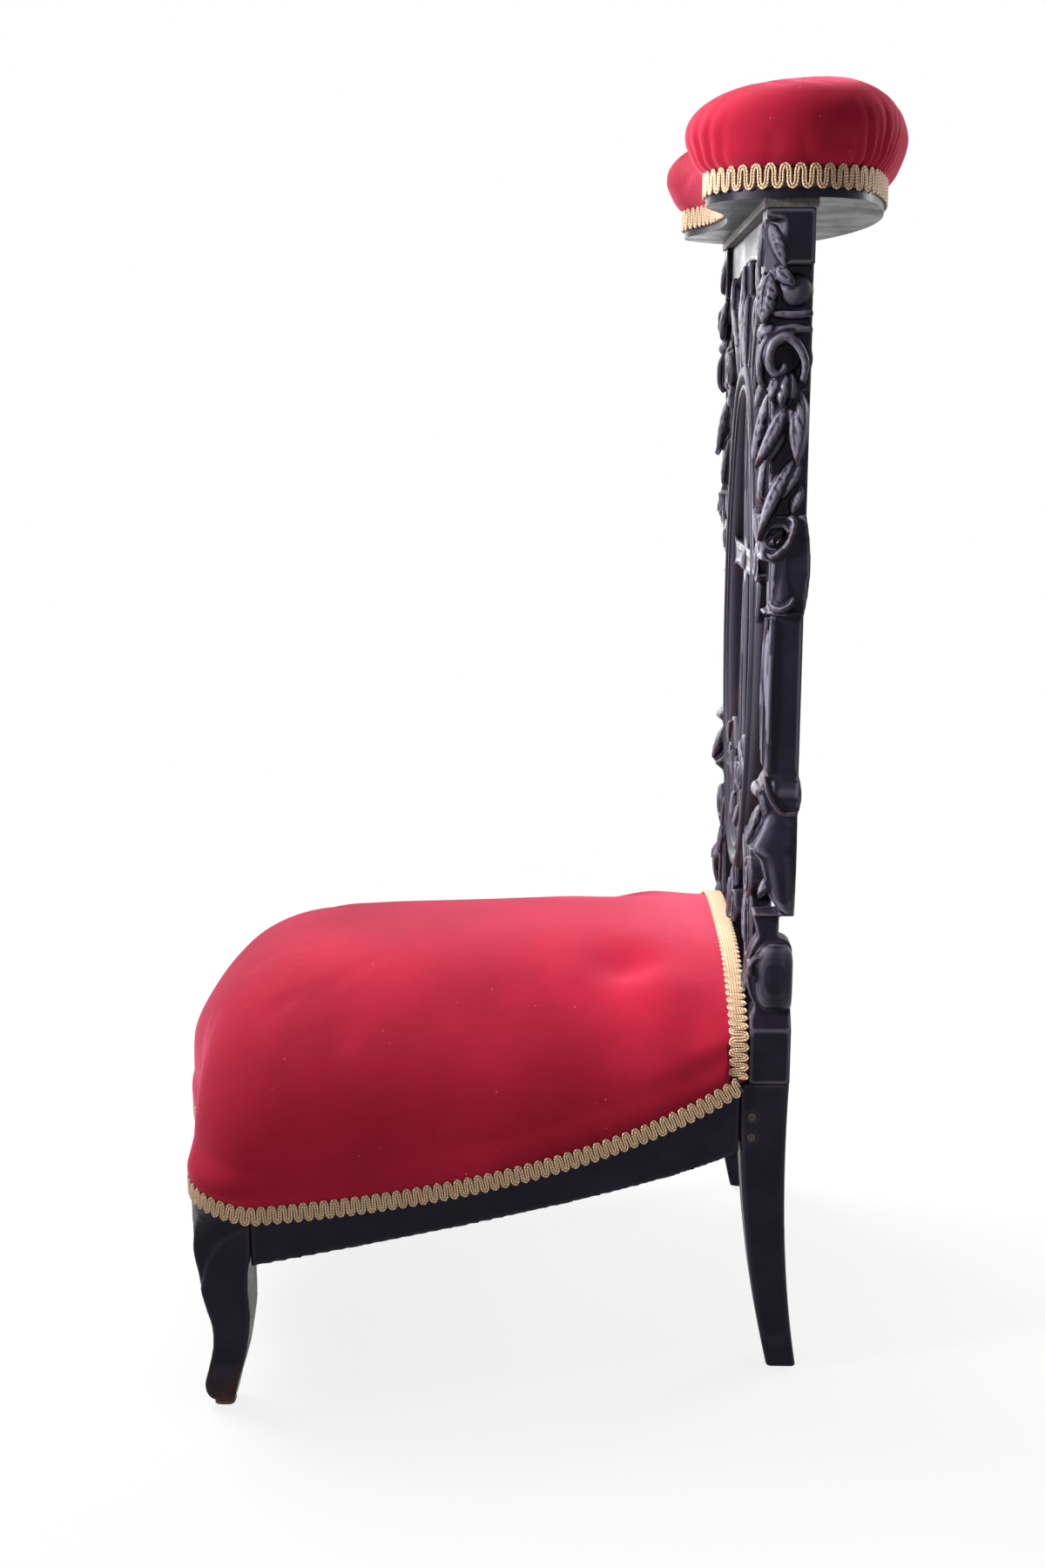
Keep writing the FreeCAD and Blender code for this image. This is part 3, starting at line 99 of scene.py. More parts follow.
@dataclass
class Shell:
    """Surface as arrays: points, four-cornered faces and a flat coordinate for each point."""

    points: Array
    quads: Array
    flat: Array | None = None

    def mirrored(self) -> Shell:
        """The same surface on the other side of the chair, faces turned to point outwards."""
        return Shell(self.points * MIRROR, self.quads[:, ::-1], self.flat)


def grid(points: Array, wrap_u: bool = False, wrap_v: bool = False, flat: Array | None = None) -> Shell:
    """Surface through a grid of points, each cell of the grid one face.

    Args:
        points: Points as rows, columns and x, y, z.
        wrap_u: Whether the last row joins the first.
        wrap_v: Whether the last column joins the first.
        flat: Flat coordinate of each point, as rows, columns and u, v.

    Returns:
        The surface.
    """
    rows, columns = points.shape[:2]
    index = np.arange(rows * columns).reshape(rows, columns)
    here = index if wrap_u else index[:-1]
    after = np.roll(index, -1, 0) if wrap_u else index[1:]
    if wrap_v:
        corners = [here, after, np.roll(after, -1, 1), np.roll(here, -1, 1)]
    else:
        corners = [here[:, :-1], after[:, :-1], after[:, 1:], here[:, 1:]]
    quads = np.stack(corners, -1).reshape(-1, 4)
    return Shell(points.reshape(-1, 3), quads, None if flat is None else flat.reshape(-1, 2))


def capped(points: Array, flat: Array | None = None) -> Shell:
    """Tube through rings of points, closed at both ends by rings drawn together to their middle."""
    first = np.repeat(points[:1].mean(1, keepdims=True), points.shape[1], 1)
    last = np.repeat(points[-1:].mean(1, keepdims=True), points.shape[1], 1)
    if flat is not None:
        flat = np.concatenate([flat[:1], flat, flat[-1:]])
    return grid(np.concatenate([first, points, last]), wrap_v=True, flat=flat)


def unit(vectors: Array) -> Array:
    """Vectors of length one along the last axis."""
    return vectors / np.maximum(np.linalg.norm(vectors, axis=-1, keepdims=True), 1e-12)


def rays(angle: Array) -> Array:
    """Directions in a plane at some angles, one row each."""
    return np.stack([np.cos(angle), np.sin(angle)], 1)


def squarish(count: int, power: float) -> Array:
    """Ring of half size one in a plane: cosine and sine of a turn, each raised to a power below one."""
    ray = rays(np.linspace(0, 2 * np.pi, count, endpoint=False))
    return np.sign(ray) * np.abs(ray) ** power


def beside(along: Array) -> Array:
    """Directions in a plane, turned a quarter to the left."""
    return np.stack([-along[:, 1], along[:, 0]], 1)


def lengths(path: Array) -> Array:
    """Length of a path up to each of its points."""
    return np.concatenate([[0], np.cumsum(np.linalg.norm(np.diff(path, axis=0), axis=1))])


def at_lengths(place: Array, length: Array, rows: Array) -> Array:
    """Points or directions of a path, given at known lengths, at other places along it."""
    return np.stack([np.interp(place, length, column) for column in rows.T], -1)


def bow(middle: Spot, radius: float, start: float, stop: float, count: int, sign: float = 1.0
        ) -> tuple[Array, Array]:
    """Points of an arc in a plane, its end left out, and their outward directions.

    Args:
        middle: Centre of the arc.
        radius: Its radius.
        start: Angle of its first point.
        stop: Angle at which it ends.
        count: Number of points.
        sign: -1 where the centre lies outside the form that the arc bounds.

    Returns:
        The points and the directions, one row each.
    """
    ray = rays(np.linspace(start, stop, count, endpoint=False))
    return np.asarray(middle) + radius * ray, sign * ray


def joined(arcs: Sequence[tuple[Array, Array]]) -> tuple[Array, Array]:
    """Points and outward directions of several arcs, one after another."""
    return np.concatenate([points for points, _ in arcs]), np.concatenate([out for _, out in arcs])


def there_and_back(line: Array) -> Array:
    """Line on the right, then its mirror image from the end back to the start."""
    return np.concatenate([line, line[-2::-1] * MIRROR[:line.shape[1]]])


def raised(plan: Array, height: Array | float) -> Array:
    """Points of a plan lifted to one height or to a height each."""
    return np.column_stack([plan, np.broadcast_to(height, len(plan))])


def eased(t: Array) -> Array:
    """Share held between 0 and 1 that starts and ends gently: three squares less two cubes."""
    t = np.clip(t, 0, 1)
    return t * t * (3 - 2 * t)


def bell(distance: Array) -> Array:
    """Bell curve: the exponential of minus the square."""
    return np.exp(-distance ** 2)


def three_poles(poles: Sequence[Spot]) -> Array:
    """Curve of three poles in a plane, as a row for each of its two coordinates.

    A point is the sum of the poles weighted by the square of 1 - t, twice t times 1 - t, and the square of t.
    """
    t = np.linspace(0, 1, 200)[:, None]
    first, second, third = np.asarray(poles, float)
    return ((1 - t) ** 2 * first + 2 * t * (1 - t) * second + t ** 2 * third).T


def smooth_path(points: Sequence[Spot], count: int) -> Array:
    """Even points on a Catmull-Rom curve.

    Each span is a cubic whose end slopes are half the chord of the neighbouring points.

    Args:
        points: Points that the curve passes.
        count: Number of points wanted.

    Returns:
        Points on the curve, one row each.
    """
    spots = np.asarray(points, float)
    padded = np.concatenate([2 * spots[:1] - spots[1:2], spots, 2 * spots[-1:] - spots[-2:-1]])
    place = np.linspace(0, len(spots) - 1, count)
    span = np.minimum(place.astype(int), len(spots) - 2)
    t = (place - span)[:, None]
    before, start, end, after = (padded[span + k] for k in range(4))
    return 0.5 * (2 * start + (end - before) * t + (2 * before - 5 * start + 4 * end - after) * t ** 2
                  + (3 * start - before - 3 * end + after) * t ** 3)


def arc_points(start: Array, middle: Array, end: Array, count: int) -> Array:
    """Points on the circle through three points of a plane, from start on, the end left out.

    The centre is equally far from all three points; the points lie at even angles on the side of middle.
    """
    chords = np.array([middle - start, end - start])
    centre = start + np.linalg.solve(2 * chords, (chords ** 2).sum(1))
    spokes = np.array([start, middle, end]) - centre
    turn = np.arctan2(spokes[:, 1], spokes[:, 0])
    sweep = (turn[2] - turn[0]) % (2 * np.pi)
    if (turn[1] - turn[0]) % (2 * np.pi) > sweep:
        sweep -= 2 * np.pi
    angle = turn[0] + sweep * np.arange(count) / count
    return centre + np.hypot(*spokes[0]) * rays(angle)


def leaving_arc(start: Array, end: Array, count: int) -> Array:
    """Points on the circle that leaves start along x and passes end, the end left out.

    The radius is the squared chord over twice the rise; the middle of the arc lies at half its angle.
    """
    run, rise = end - start
    radius = (run ** 2 + rise ** 2) / (2 * abs(rise))
    half = np.arcsin(min(1.0, abs(run) / radius)) / 2
    middle = start + radius * np.array([np.sign(run) * np.sin(half), np.sign(rise) * (1 - np.cos(half))])
    return arc_points(start, middle, end, count)


def tube(path: Array, radius: Array | float, sides: int = 10) -> Shell:
    """Round profile carried along a path, turned so that it never twists quickly.

    Each ring is the path's point plus the radius times the cosine of the angle on one cross direction and
    its sine on the other.
    """
    along = unit(np.gradient(path, axis=0))
    rough = np.eye(3)[np.argmin(np.abs(along).sum(0))]
    first = unit(np.cross(along, rough))
    second = np.cross(along, first)
    angle = np.linspace(0, 2 * np.pi, sides, endpoint=False)
    radii = np.broadcast_to(np.asarray(radius, float), len(path))[:, None, None]
    ring = np.cos(angle)[:, None] * first[:, None] + np.sin(angle)[:, None] * second[:, None]
    return capped(path[:, None] + radii * ring)


def ball(centre: Spot, radii: Spot, rings: int = 20, sides: int = 28) -> Shell:
    """Ellipsoid: cosine and sine of latitude and longitude, each times the radius on its axis."""
    lat = np.linspace(-np.pi / 2, np.pi / 2, rings)[:, None]
    lon = np.linspace(0, 2 * np.pi, sides, endpoint=False)
    unit_ball = np.stack([np.cos(lat) * np.cos(lon), np.cos(lat) * np.sin(lon),
                          np.repeat(np.sin(lat), sides, 1)], -1)
    return grid(np.asarray(centre) * MM + unit_ball * np.asarray(radii) * MM, wrap_v=True)


def shade_smooth(mesh: Mesh) -> None:
    """Smooth shading on every face."""
    mesh.polygons.foreach_set("use_smooth", np.ones(len(mesh.polygons), bool))


def to_mesh(name: str, shells: Sequence[Shell], nodes: Sequence[Piece] = ()) -> Mesh:
    """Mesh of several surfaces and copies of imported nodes, doubles merged and faces turned outwards.

    Args:
        name: Name of the mesh.
        shells: Surfaces worked out as arrays.
        nodes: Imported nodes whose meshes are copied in.

    Returns:
        The mesh.
    """
    mesh = bpy.data.meshes.new(name)
    if shells:
        starts = np.cumsum([0] + [len(s.points) for s in shells[:-1]])
        points = np.concatenate([s.points for s in shells]).astype(np.float32)
        quads = np.concatenate([s.quads + start for s, start in zip(shells, starts)]).astype(np.int32)
        mesh.vertices.add(len(points))
        mesh.loops.add(quads.size)
        mesh.polygons.add(len(quads))
        mesh.vertices.foreach_set("co", points.ravel())
        mesh.loops.foreach_set("vertex_index", quads.ravel())
        mesh.polygons.foreach_set("loop_start", np.arange(0, quads.size, 4, dtype=np.int32))
        mesh.update(calc_edges=True)
        if all(s.flat is not None for s in shells):
            layer = mesh.uv_layers.new(name="length")
            layer.data.foreach_set("uv", np.concatenate([s.flat for s in shells])[quads.ravel()].ravel())
    work = bmesh.new()
    work.from_mesh(mesh)
    for node in nodes:
        work.from_mesh(node.data)
    bmesh.ops.remove_doubles(work, verts=work.verts, dist=MERGE_DISTANCE)
    bmesh.ops.recalc_face_normals(work, faces=work.faces)
    work.to_mesh(mesh)
    work.free()
    shade_smooth(mesh)
    mesh.materials.clear()
    return mesh


def point_rows(mesh: Mesh, what: str = "co") -> Array:
    """Places of a mesh's points, or with "normal" their outward directions, one row each."""
    flat = np.empty(len(mesh.vertices) * 3, np.float32)
    mesh.vertices.foreach_get(what, flat)
    return flat.reshape(-1, 3).astype(float)


def right_half(points: Array) -> tuple[Array, Array, Array, Array]:
    """Side of each point, 1 right and -1 left, then x as on the right, y and z in millimetres."""
    mm = points / MM
    return np.where(mm[:, 0] < 0, -1.0, 1.0), np.abs(mm[:, 0]), mm[:, 1], mm[:, 2]


def baked(obj: Piece) -> None:
    """Puts the result of an object's modifiers into its mesh and takes the modifiers off."""
    graph = bpy.context.evaluated_depsgraph_get()
    mesh = bpy.data.meshes.new_from_object(obj.evaluated_get(graph))
    obj.modifiers.clear()
    old = obj.data
    obj.data = mesh
    bpy.data.meshes.remove(old)


def reshape(obj: Piece, points: Array) -> None:
    """Moves the points of a piece's own mesh."""
    obj.data.vertices.foreach_set("co", points.astype(np.float32).ravel())
    obj.data.update()


def skinned(obj: Piece, voxel: float, rounds: int) -> None:
    """Covers a piece with one even skin of voxels, millimetres, and smooths it some rounds."""
    remesh = obj.modifiers.new("skin", "REMESH")
    remesh.mode = "VOXEL"
    remesh.voxel_size = voxel * MM
    soft = obj.modifiers.new("soften", "SMOOTH")
    soft.factor = 0.5
    soft.iterations = rounds
    baked(obj)


def nearest(points: Array, line: Array) -> Array:
    """Index of the point of a line closest to each point of the same plane, worked out block by block."""
    blocks = np.array_split(points, max(1, len(points) // 4000))
    return np.concatenate([((block[:, None] - line) ** 2).sum(-1).argmin(1) for block in blocks])


def loose_object(name: str, mesh: Mesh) -> Piece:
    """Object at the origin, linked to the scene."""
    obj = bpy.data.objects.new(name, mesh)
    bpy.context.scene.collection.objects.link(obj)
    return obj


def shaped(name: str, shells: Sequence[Shell], nodes: Sequence[Piece] = ()) -> Piece:
    """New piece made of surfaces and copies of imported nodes."""
    return loose_object(name, to_mesh(name, shells, nodes))


def neighbours(mesh: Mesh) -> tuple[Array, Array]:
    """Ends of each edge, and the number of edges at each point."""
    ends = np.empty(len(mesh.edges) * 2, np.int32)
    mesh.edges.foreach_get("vertices", ends)
    ends = ends.reshape(-1, 2)
    count = np.bincount(ends.ravel(), minlength=len(mesh.vertices))
    return ends, np.maximum(count, 1)


def spread(values: Array, ends: Array, count: Array) -> Array:
    """Mean of each point's neighbours, for a number or a vector at each point."""
    total = np.zeros_like(values)
    np.add.at(total, ends[:, 0], values[ends[:, 1]])
    np.add.at(total, ends[:, 1], values[ends[:, 0]])
    return total / (count if values.ndim == 1 else count[:, None])


def mark_wear(mesh: Mesh, reach: float) -> None:
    """Stores how far each point stands out of its surroundings, for worn arrises, dusty hollows and the
    painted highlight on swellings.

    The value is the distance from a point to the mean of its neighbours along the normal, spread a few
    times and divided by reach: 1 on a sharp arris, 0 on a flat, -1 in a sharp hollow. It rises again close
    to the floor.
    """
    ends, count = neighbours(mesh)
    points = point_rows(mesh)
    proud = ((points - spread(points, ends, count)) * point_rows(mesh, "normal")).sum(1)
    for _ in range(3):
        proud = 0.5 * proud + 0.5 * spread(proud, ends, count)
    floor = np.clip(1 - points[:, 2] / FOOT_WEAR_HEIGHT, 0, 1)
    layer = mesh.attributes.new("wear", "FLOAT", "POINT")
    wear = np.clip(proud / reach + FOOT_WEAR * floor, -1, 1)
    layer.data.foreach_set("value", wear.astype(np.float32))


# Finishes


class Grain(Enum):
    """Direction in which a wooden piece's grain runs, as stretch factors of its pattern."""

    ACROSS = (0.06, 1.0, 1.0)
    ALONG = (1.0, 0.06, 1.0)
    UPRIGHT = (1.0, 1.0, 0.06)


class Graph:
    """Node tree of a material or a world, with short calls that add nodes and join them."""

    def __init__(self, owner: Material | bpy.types.World, shader: str = "Principled BSDF") -> None:
        """Starts from the shader that a new tree holds."""
        owner.use_nodes = True
        self.owner = owner
        self.tree = owner.node_tree
        self.shader = self.tree.nodes[shader]

    def feed(self, socket: Socket, value: object) -> None:
        """Sets a socket to a constant or joins it to another socket."""
        if isinstance(value, Socket):
            self.tree.links.new(value, socket)
        else:
            socket.default_value = value

    def node(self, kind: str, inputs: dict[str | int, object] | None = None, **settings: object
             ) -> bpy.types.Node:
        """Adds a node.

        Args:
            kind: Type of the node.
            inputs: Constants or sockets for its inputs, by name or place.
            settings: Values of its properties.

        Returns:
            The node.
        """
        made = self.tree.nodes.new(kind)
        for name, value in settings.items():
            setattr(made, name, value)
        for name, value in (inputs or {}).items():
            self.feed(made.inputs[name], value)
        return made

    def places(self, stretch: Spot = (1, 1, 1), turn: Spot = (0, 0, 0)) -> Socket:
        """Object coordinates, stretched and turned."""
        own = self.node("ShaderNodeTexCoord").outputs["Object"]
        inputs = {"Vector": own, "Scale": stretch, "Rotation": turn}
        return self.node("ShaderNodeMapping", inputs).outputs["Vector"]

    def noise(self, places: Socket, scale: float, detail: float, rough: float) -> Socket:
        """Cloudy value from 0 to 1, scale counting its cells in a metre."""
        inputs = {"Vector": places, "Scale": scale, "Detail": detail, "Roughness": rough}
        return self.node("ShaderNodeTexNoise", inputs).outputs["Fac"]

    def wave(self, places: Socket, scale: float, axis: str, distortion: float = 0.0) -> Socket:
        """Even stripes across one axis."""
        inputs = {"Vector": places, "Scale": scale, "Distortion": distortion}
        return self.node("ShaderNodeTexWave", inputs, bands_direction=axis, wave_profile="SIN").outputs["Fac"]

    def math(self, kind: str, first: object, second: object) -> Socket:
        """Result of one arithmetic step on two values."""
        return self.node("ShaderNodeMath", {0: first, 1: second}, operation=kind).outputs[0]

    def times(self, first: object, second: object) -> Socket:
        """Product of two values."""
        return self.math("MULTIPLY", first, second)

    def plus(self, first: object, second: object) -> Socket:
        """Sum of two values."""
        return self.math("ADD", first, second)

    def ranged(self, value: Socket, low: float, high: float, out_low: float = 0.0, out_high: float = 1.0
               ) -> Socket:
        """Value moved gently from one range to another and held inside it."""
        inputs = {"Value": value, "From Min": low, "From Max": high, "To Min": out_low, "To Max": out_high}
        return self.node("ShaderNodeMapRange", inputs, interpolation_type="SMOOTHSTEP").outputs["Result"]

    def mixed(self, share: object, first: object, second: object) -> Socket:
        """Colour between two colours."""
        inputs = {"Factor": share, 6: first, 7: second}
        return self.node("ShaderNodeMix", inputs, data_type="RGBA").outputs[2]

    def bump(self, height: Socket, strength: float, depth: float, under: Socket | None = None) -> Socket:
        """Relief from a value, depth in metres, on top of another relief where one is given."""
        inputs = {"Strength": strength, "Distance": depth, "Height": height}
        if under is not None:
            inputs["Normal"] = under
        return self.node("ShaderNodeBump", inputs).outputs["Normal"]

    def attribute(self, name: str) -> Socket:
        """Value stored at the points of a piece."""
        return self.node("ShaderNodeAttribute", attribute_name=name).outputs["Fac"]

    def seen(self) -> Socket:
        """1 for rays from the camera, off a gloss or through a clear thing, 0 for rays that only light."""
        path = self.node("ShaderNodeLightPath").outputs
        direct = self.math("MAXIMUM", path["Is Camera Ray"], path["Is Glossy Ray"])
        return self.math("MAXIMUM", direct, path["Is Transmission Ray"])

    def done(self, **sockets: object) -> Material | bpy.types.World:
        """Sets the shader's sockets, named with underscores for spaces, and gives the tree's owner."""
        for name, value in sockets.items():
            self.feed(self.shader.inputs[name.replace("_", " ")], value)
        return self.owner


def paint(red: float, green: float, blue: float) -> Colour:
    """Opaque colour from linear red, green and blue."""
    return red, green, blue, 1.0


@dataclass(frozen=True)
class Finish:
    """A finish of the record, made into a material when it is first asked for."""

    slot: str

    def build(self) -> Material:
        """Makes the material."""
        raise NotImplementedError

    def material(self) -> Material:
        """The finish's material, made once."""
        known = bpy.data.materials.get(self.label())
        return known or self.build()

    def label(self) -> str:
        """Name of the material."""
        return "finish_" + self.slot

    def graph(self) -> Graph:
        """Node tree of a new material with the finish's name."""
        return Graph(bpy.data.materials.new(self.label()))


@dataclass(frozen=True)
class EbonisedWood(Finish):
    """Black-stained waxed hardwood, brown on arrises worn by hands and knees, dull in its hollows, with a
    painted highlight of light grey on its swellings.
    """

    slot: str = "ebonised_wood"
    grain: Grain = Grain.UPRIGHT
    black: Colour = paint(0.0030, 0.0026, 0.0060)
    bloom: Colour = paint(0.0080, 0.0066, 0.0140)
    brown: Colour = paint(0.075, 0.028, 0.015)
    dust: Colour = paint(0.020, 0.017, 0.019)
    # painted highlight: a light lilac grey laid on swellings as if light fell on them
    polish: Colour = paint(0.105, 0.095, 0.125)
    shine: Colour = paint(0.86, 0.78, 1.0)
    wax: float = 0.75

    def label(self) -> str:
        """Name of the material."""
        return f"finish_ebonised_{self.grain.name.lower()}_{round(100 * self.wax)}"

    def build(self) -> Material:
        """Black with grain pores, bloom in patches, a painted highlight on swellings, worn arrises and dust
        in hollows.
        """
        g = self.graph()
        here = g.places()
        pores = g.noise(g.places(self.grain.value), 900, 5, 0.6)
        clouds = g.noise(here, 28, 5, 0.6)
        scuffs = g.noise(here, 160, 6, 0.7)
        # how far a point stands out: it drives worn arrises, dust in hollows and the painted highlight
        wear = g.attribute("wear")
        rubbed = g.ranged(g.noise(here, 14, 3, 0.5), 0.48, 0.66)
        edge = g.times(g.ranged(g.plus(wear, g.times(scuffs, 0.5)), 0.6, 1.1), rubbed)
        # painted highlight mask: lighter on swellings, fading on sharp arrises
        swelling, sharp = g.ranged(wear, 0.02, 0.32, 0.0, self.wax), g.ranged(wear, 0.34, 0.72, 1.0, 0.15)
        hollow = g.ranged(g.times(wear, -1.0), 0.15, 0.8, 0.0, 0.55)
        body = g.mixed(g.ranged(clouds, 0.35, 0.7), self.black, self.bloom)
        body = g.mixed(hollow, body, self.dust)
        # painted highlight mixed into the black on swellings
        body = g.mixed(g.times(swelling, sharp), body, self.polish)
        body = g.mixed(g.times(edge, 0.7), body, self.brown)
        gloss = g.ranged(g.plus(clouds, g.times(scuffs, 0.4)), 0.45, 0.95, 0.30, 0.50)
        relief = g.bump(pores, 0.22, 0.00035)
        relief = g.bump(g.noise(here, 45, 3, 0.5), 0.25, 0.0016, relief)
        return g.done(Base_Color=body, Roughness=gloss, Normal=relief, Specular_IOR_Level=0.15,
                      Specular_Tint=self.shine)


@dataclass(frozen=True)
class PlainWood(Finish):
    """Unstained beech: pale grain lines and fine pores."""

    slot: str = "plain_wood"
    light: Colour = paint(0.36, 0.22, 0.12)
    dark: Colour = paint(0.19, 0.105, 0.055)
    grain: Grain = Grain.ALONG

    def build(self) -> Material:
        """Grain bands drawn out along the piece, with pores as relief."""
        g = self.graph()
        bands = g.noise(g.places(self.grain.value), 160, 6, 0.65)
        pores = g.noise(g.places(self.grain.value), 1200, 3, 0.6)
        body = g.mixed(g.ranged(bands, 0.3, 0.7), self.dark, self.light)
        return g.done(Base_Color=body, Roughness=g.ranged(pores, 0.2, 0.8, 0.5, 0.72),
                      Normal=g.bump(pores, 0.3, 0.0004))


@dataclass(frozen=True)
class WornWood(PlainWood):
    """Blackened strip rubbed grey and brown."""

    slot: str = "worn_wood"
    light: Colour = paint(0.115, 0.09, 0.085)
    dark: Colour = paint(0.022, 0.017, 0.019)
    grain: Grain = Grain.ACROSS


@dataclass(frozen=True)
class StainedWood(PlainWood):
    """Peg wood stained with the rails, brown where the end grain has dried."""

    light: Colour = paint(0.026, 0.013, 0.010)
    dark: Colour = paint(0.006, 0.004, 0.005)
    grain: Grain = Grain.ACROSS

    def label(self) -> str:
        """Name of the material."""
        return "finish_stained_pegs"


@dataclass(frozen=True)
class Velvet(Finish):
    """Short crimson cotton velvet: dark into the pile, pink where it turns away, brushed patches, lint."""

    slot: str = "velvet"
    deep: Colour = paint(0.225, 0.0055, 0.017)
    bright: Colour = paint(0.48, 0.0155, 0.046)
    lint: Colour = paint(0.62, 0.36, 0.34)
    sheen: Colour = paint(1.0, 0.20, 0.32)

    def build(self) -> Material:
        """Brushed clouds between two reds, fine pile as relief, sheen at the edges, a few specks of lint."""
        g = self.graph()
        here = g.places()
        brushed = g.noise(g.places((1.0, 1.6, 1.0), (0.2, 0.3, 0.5)), 7, 3, 0.5)
        pile = g.noise(here, 2600, 3, 0.7)
        streaks = g.noise(g.places((1.0, 0.35, 1.0), (0.0, 0.0, 0.3)), 150, 4, 0.6)
        speck = g.node("ShaderNodeTexVoronoi", {"Vector": here, "Scale": 62})
        dot = g.ranged(speck.outputs["Distance"], 0.018, 0.045, 1.0, 0.0)
        share = g.plus(g.times(brushed, 0.75), g.times(streaks, 0.16))
        body = g.mixed(g.ranged(share, 0.08, 0.80), self.deep, self.bright)
        body = g.mixed(g.ranged(pile, 0.25, 0.75, 0.0, 0.22), body, self.deep)
        body = g.mixed(g.times(dot, 0.6), body, self.lint)
        relief = g.bump(pile, 0.35, 0.0006)
        relief = g.bump(streaks, 0.12, 0.0012, relief)
        return g.done(Base_Color=body, Roughness=0.85, Normal=relief, Specular_IOR_Level=0.08,
                      Sheen_Weight=0.9, Sheen_Roughness=0.34, Sheen_Tint=self.sheen)


@dataclass(frozen=True)
class GimpCord(Finish):
    """Twisted cream and gold viscose cord of the gimp, with painted shade in brown in the grooves of its
    twist, on a brown tape painted darker as shade between the cords.
    """

    slot: str = "gimp_braid"
    light: Colour = paint(0.88, 0.62, 0.39)
    dark: Colour = paint(0.40, 0.23, 0.12)
    # brown tape, set darker as painted shade where it lies between the cords
    tape: Colour = paint(0.075, 0.030, 0.015)

    def build(self) -> Material:
        """Slanted stripes of painted shade in the cord's own length coordinate, darker in cloudy patches; the
        tape's brown with painted shade at its mark.
        """
        g = self.graph()
        own = g.node("ShaderNodeUVMap", uv_map="length").outputs["UV"]
        twist = g.wave(own, 1.0, "DIAGONAL")
        clouds = g.noise(g.places(), 60, 4, 0.6)
        # painted shade: the grooves of the twist are painted dark brown
        body = g.mixed(g.ranged(twist, 0.05, 0.6), self.dark, self.light)
        body = g.mixed(g.ranged(clouds, 0.40, 0.80, 0.0, 0.35), body, self.dark)
        apart = g.node("ShaderNodeSeparateXYZ", {0: own})
        # the tape's brown, darkened as painted shade between the cords
        body = g.mixed(g.math("LESS_THAN", apart.outputs["Y"], TAPE_MARK / 2), body, self.tape)
        return g.done(Base_Color=body, Roughness=0.48, Normal=g.bump(twist, 0.5, 0.00035),
                      Specular_IOR_Level=0.45, Sheen_Weight=0.25, Sheen_Roughness=0.4)


@dataclass(frozen=True)
class WovenJute(Finish):
    """Plain woven jute, its threads crossing as over and under stripes."""

    slot: str = "hessian"
    threads: float = 200.0
    light: Colour = paint(0.36, 0.235, 0.12)
    dark: Colour = paint(0.14, 0.082, 0.038)

    def build(self) -> Material:
        """Stripes across two axes, multiplied into a weave, with uneven thread colour."""
        g = self.graph()
        here = g.places()
        weft = g.wave(here, self.threads, "X", 1.2)
        warp = g.wave(here, self.threads, "Y", 1.2)
        weave = g.times(weft, warp)
        clouds = g.noise(here, 120, 4, 0.6)
        worn = g.ranged(g.plus(weave, g.times(clouds, 0.5)), 0.2, 0.9)
        body = g.mixed(worn, self.dark, self.light)
        return g.done(Base_Color=body, Roughness=0.88, Normal=g.bump(weave, 0.6, 0.0007))


@dataclass(frozen=True)
class Webbing(WovenJute):
    """Close woven upholsterer's webbing."""

    slot: str = "webbing"
    threads: float = 210.0
    light: Colour = paint(0.42, 0.29, 0.155)
    dark: Colour = paint(0.19, 0.115, 0.055)


@dataclass(frozen=True)
class TackIron(Finish):
    """Blued iron with rust freckles."""

    slot: str = "tack_iron"
    steel: Colour = paint(0.06, 0.06, 0.07)
    rust: Colour = paint(0.16, 0.06, 0.025)

    def build(self) -> Material:
        """Metal with freckles of rust where a cloudy value is high."""
        g = self.graph()
        freckles = g.ranged(g.noise(g.places(), 900, 4, 0.6), 0.52, 0.7)
        body = g.mixed(freckles, self.steel, self.rust)
        return g.done(Base_Color=body, Metallic=0.8, Roughness=g.ranged(freckles, 0, 1, 0.38, 0.8))


@dataclass(frozen=True)
class GlideLeather(Finish):
    """Scuffed brown leather under the feet."""

    slot: str = "glide_leather"
    brown: Colour = paint(0.10, 0.05, 0.028)
    scuffed: Colour = paint(0.21, 0.135, 0.09)

    def build(self) -> Material:
        """Pebbled relief and scuffed patches."""
        g = self.graph()
        here = g.places()
        pebble = g.noise(here, 1400, 3, 0.5)
        body = g.mixed(g.ranged(g.noise(here, 180, 4, 0.6), 0.4, 0.7), self.brown, self.scuffed)
        return g.done(Base_Color=body, Roughness=0.7, Normal=g.bump(pebble, 0.4, 0.0004))


def dress(node: Piece, finish: Finish) -> None:
    """Gives a carried-over node its finish."""
    for holder in node.material_slots:
        holder.material = finish.material()
    if not node.material_slots:
        node.data.materials.append(finish.material())
    LOG.info("dressed %s with %s", node.name, finish.slot)


def hand_over(obj: Piece, finish: Finish, *nodes: str) -> None:
    """Dresses a new piece, fixes it to the chair and hides the nodes that it stands for."""
    obj.data.materials.clear()
    obj.data.materials.append(finish.material())
    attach(obj, BODY)
    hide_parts(*nodes)
    LOG.info("made %s, %d faces", obj.name, len(obj.data.polygons))


# Carving


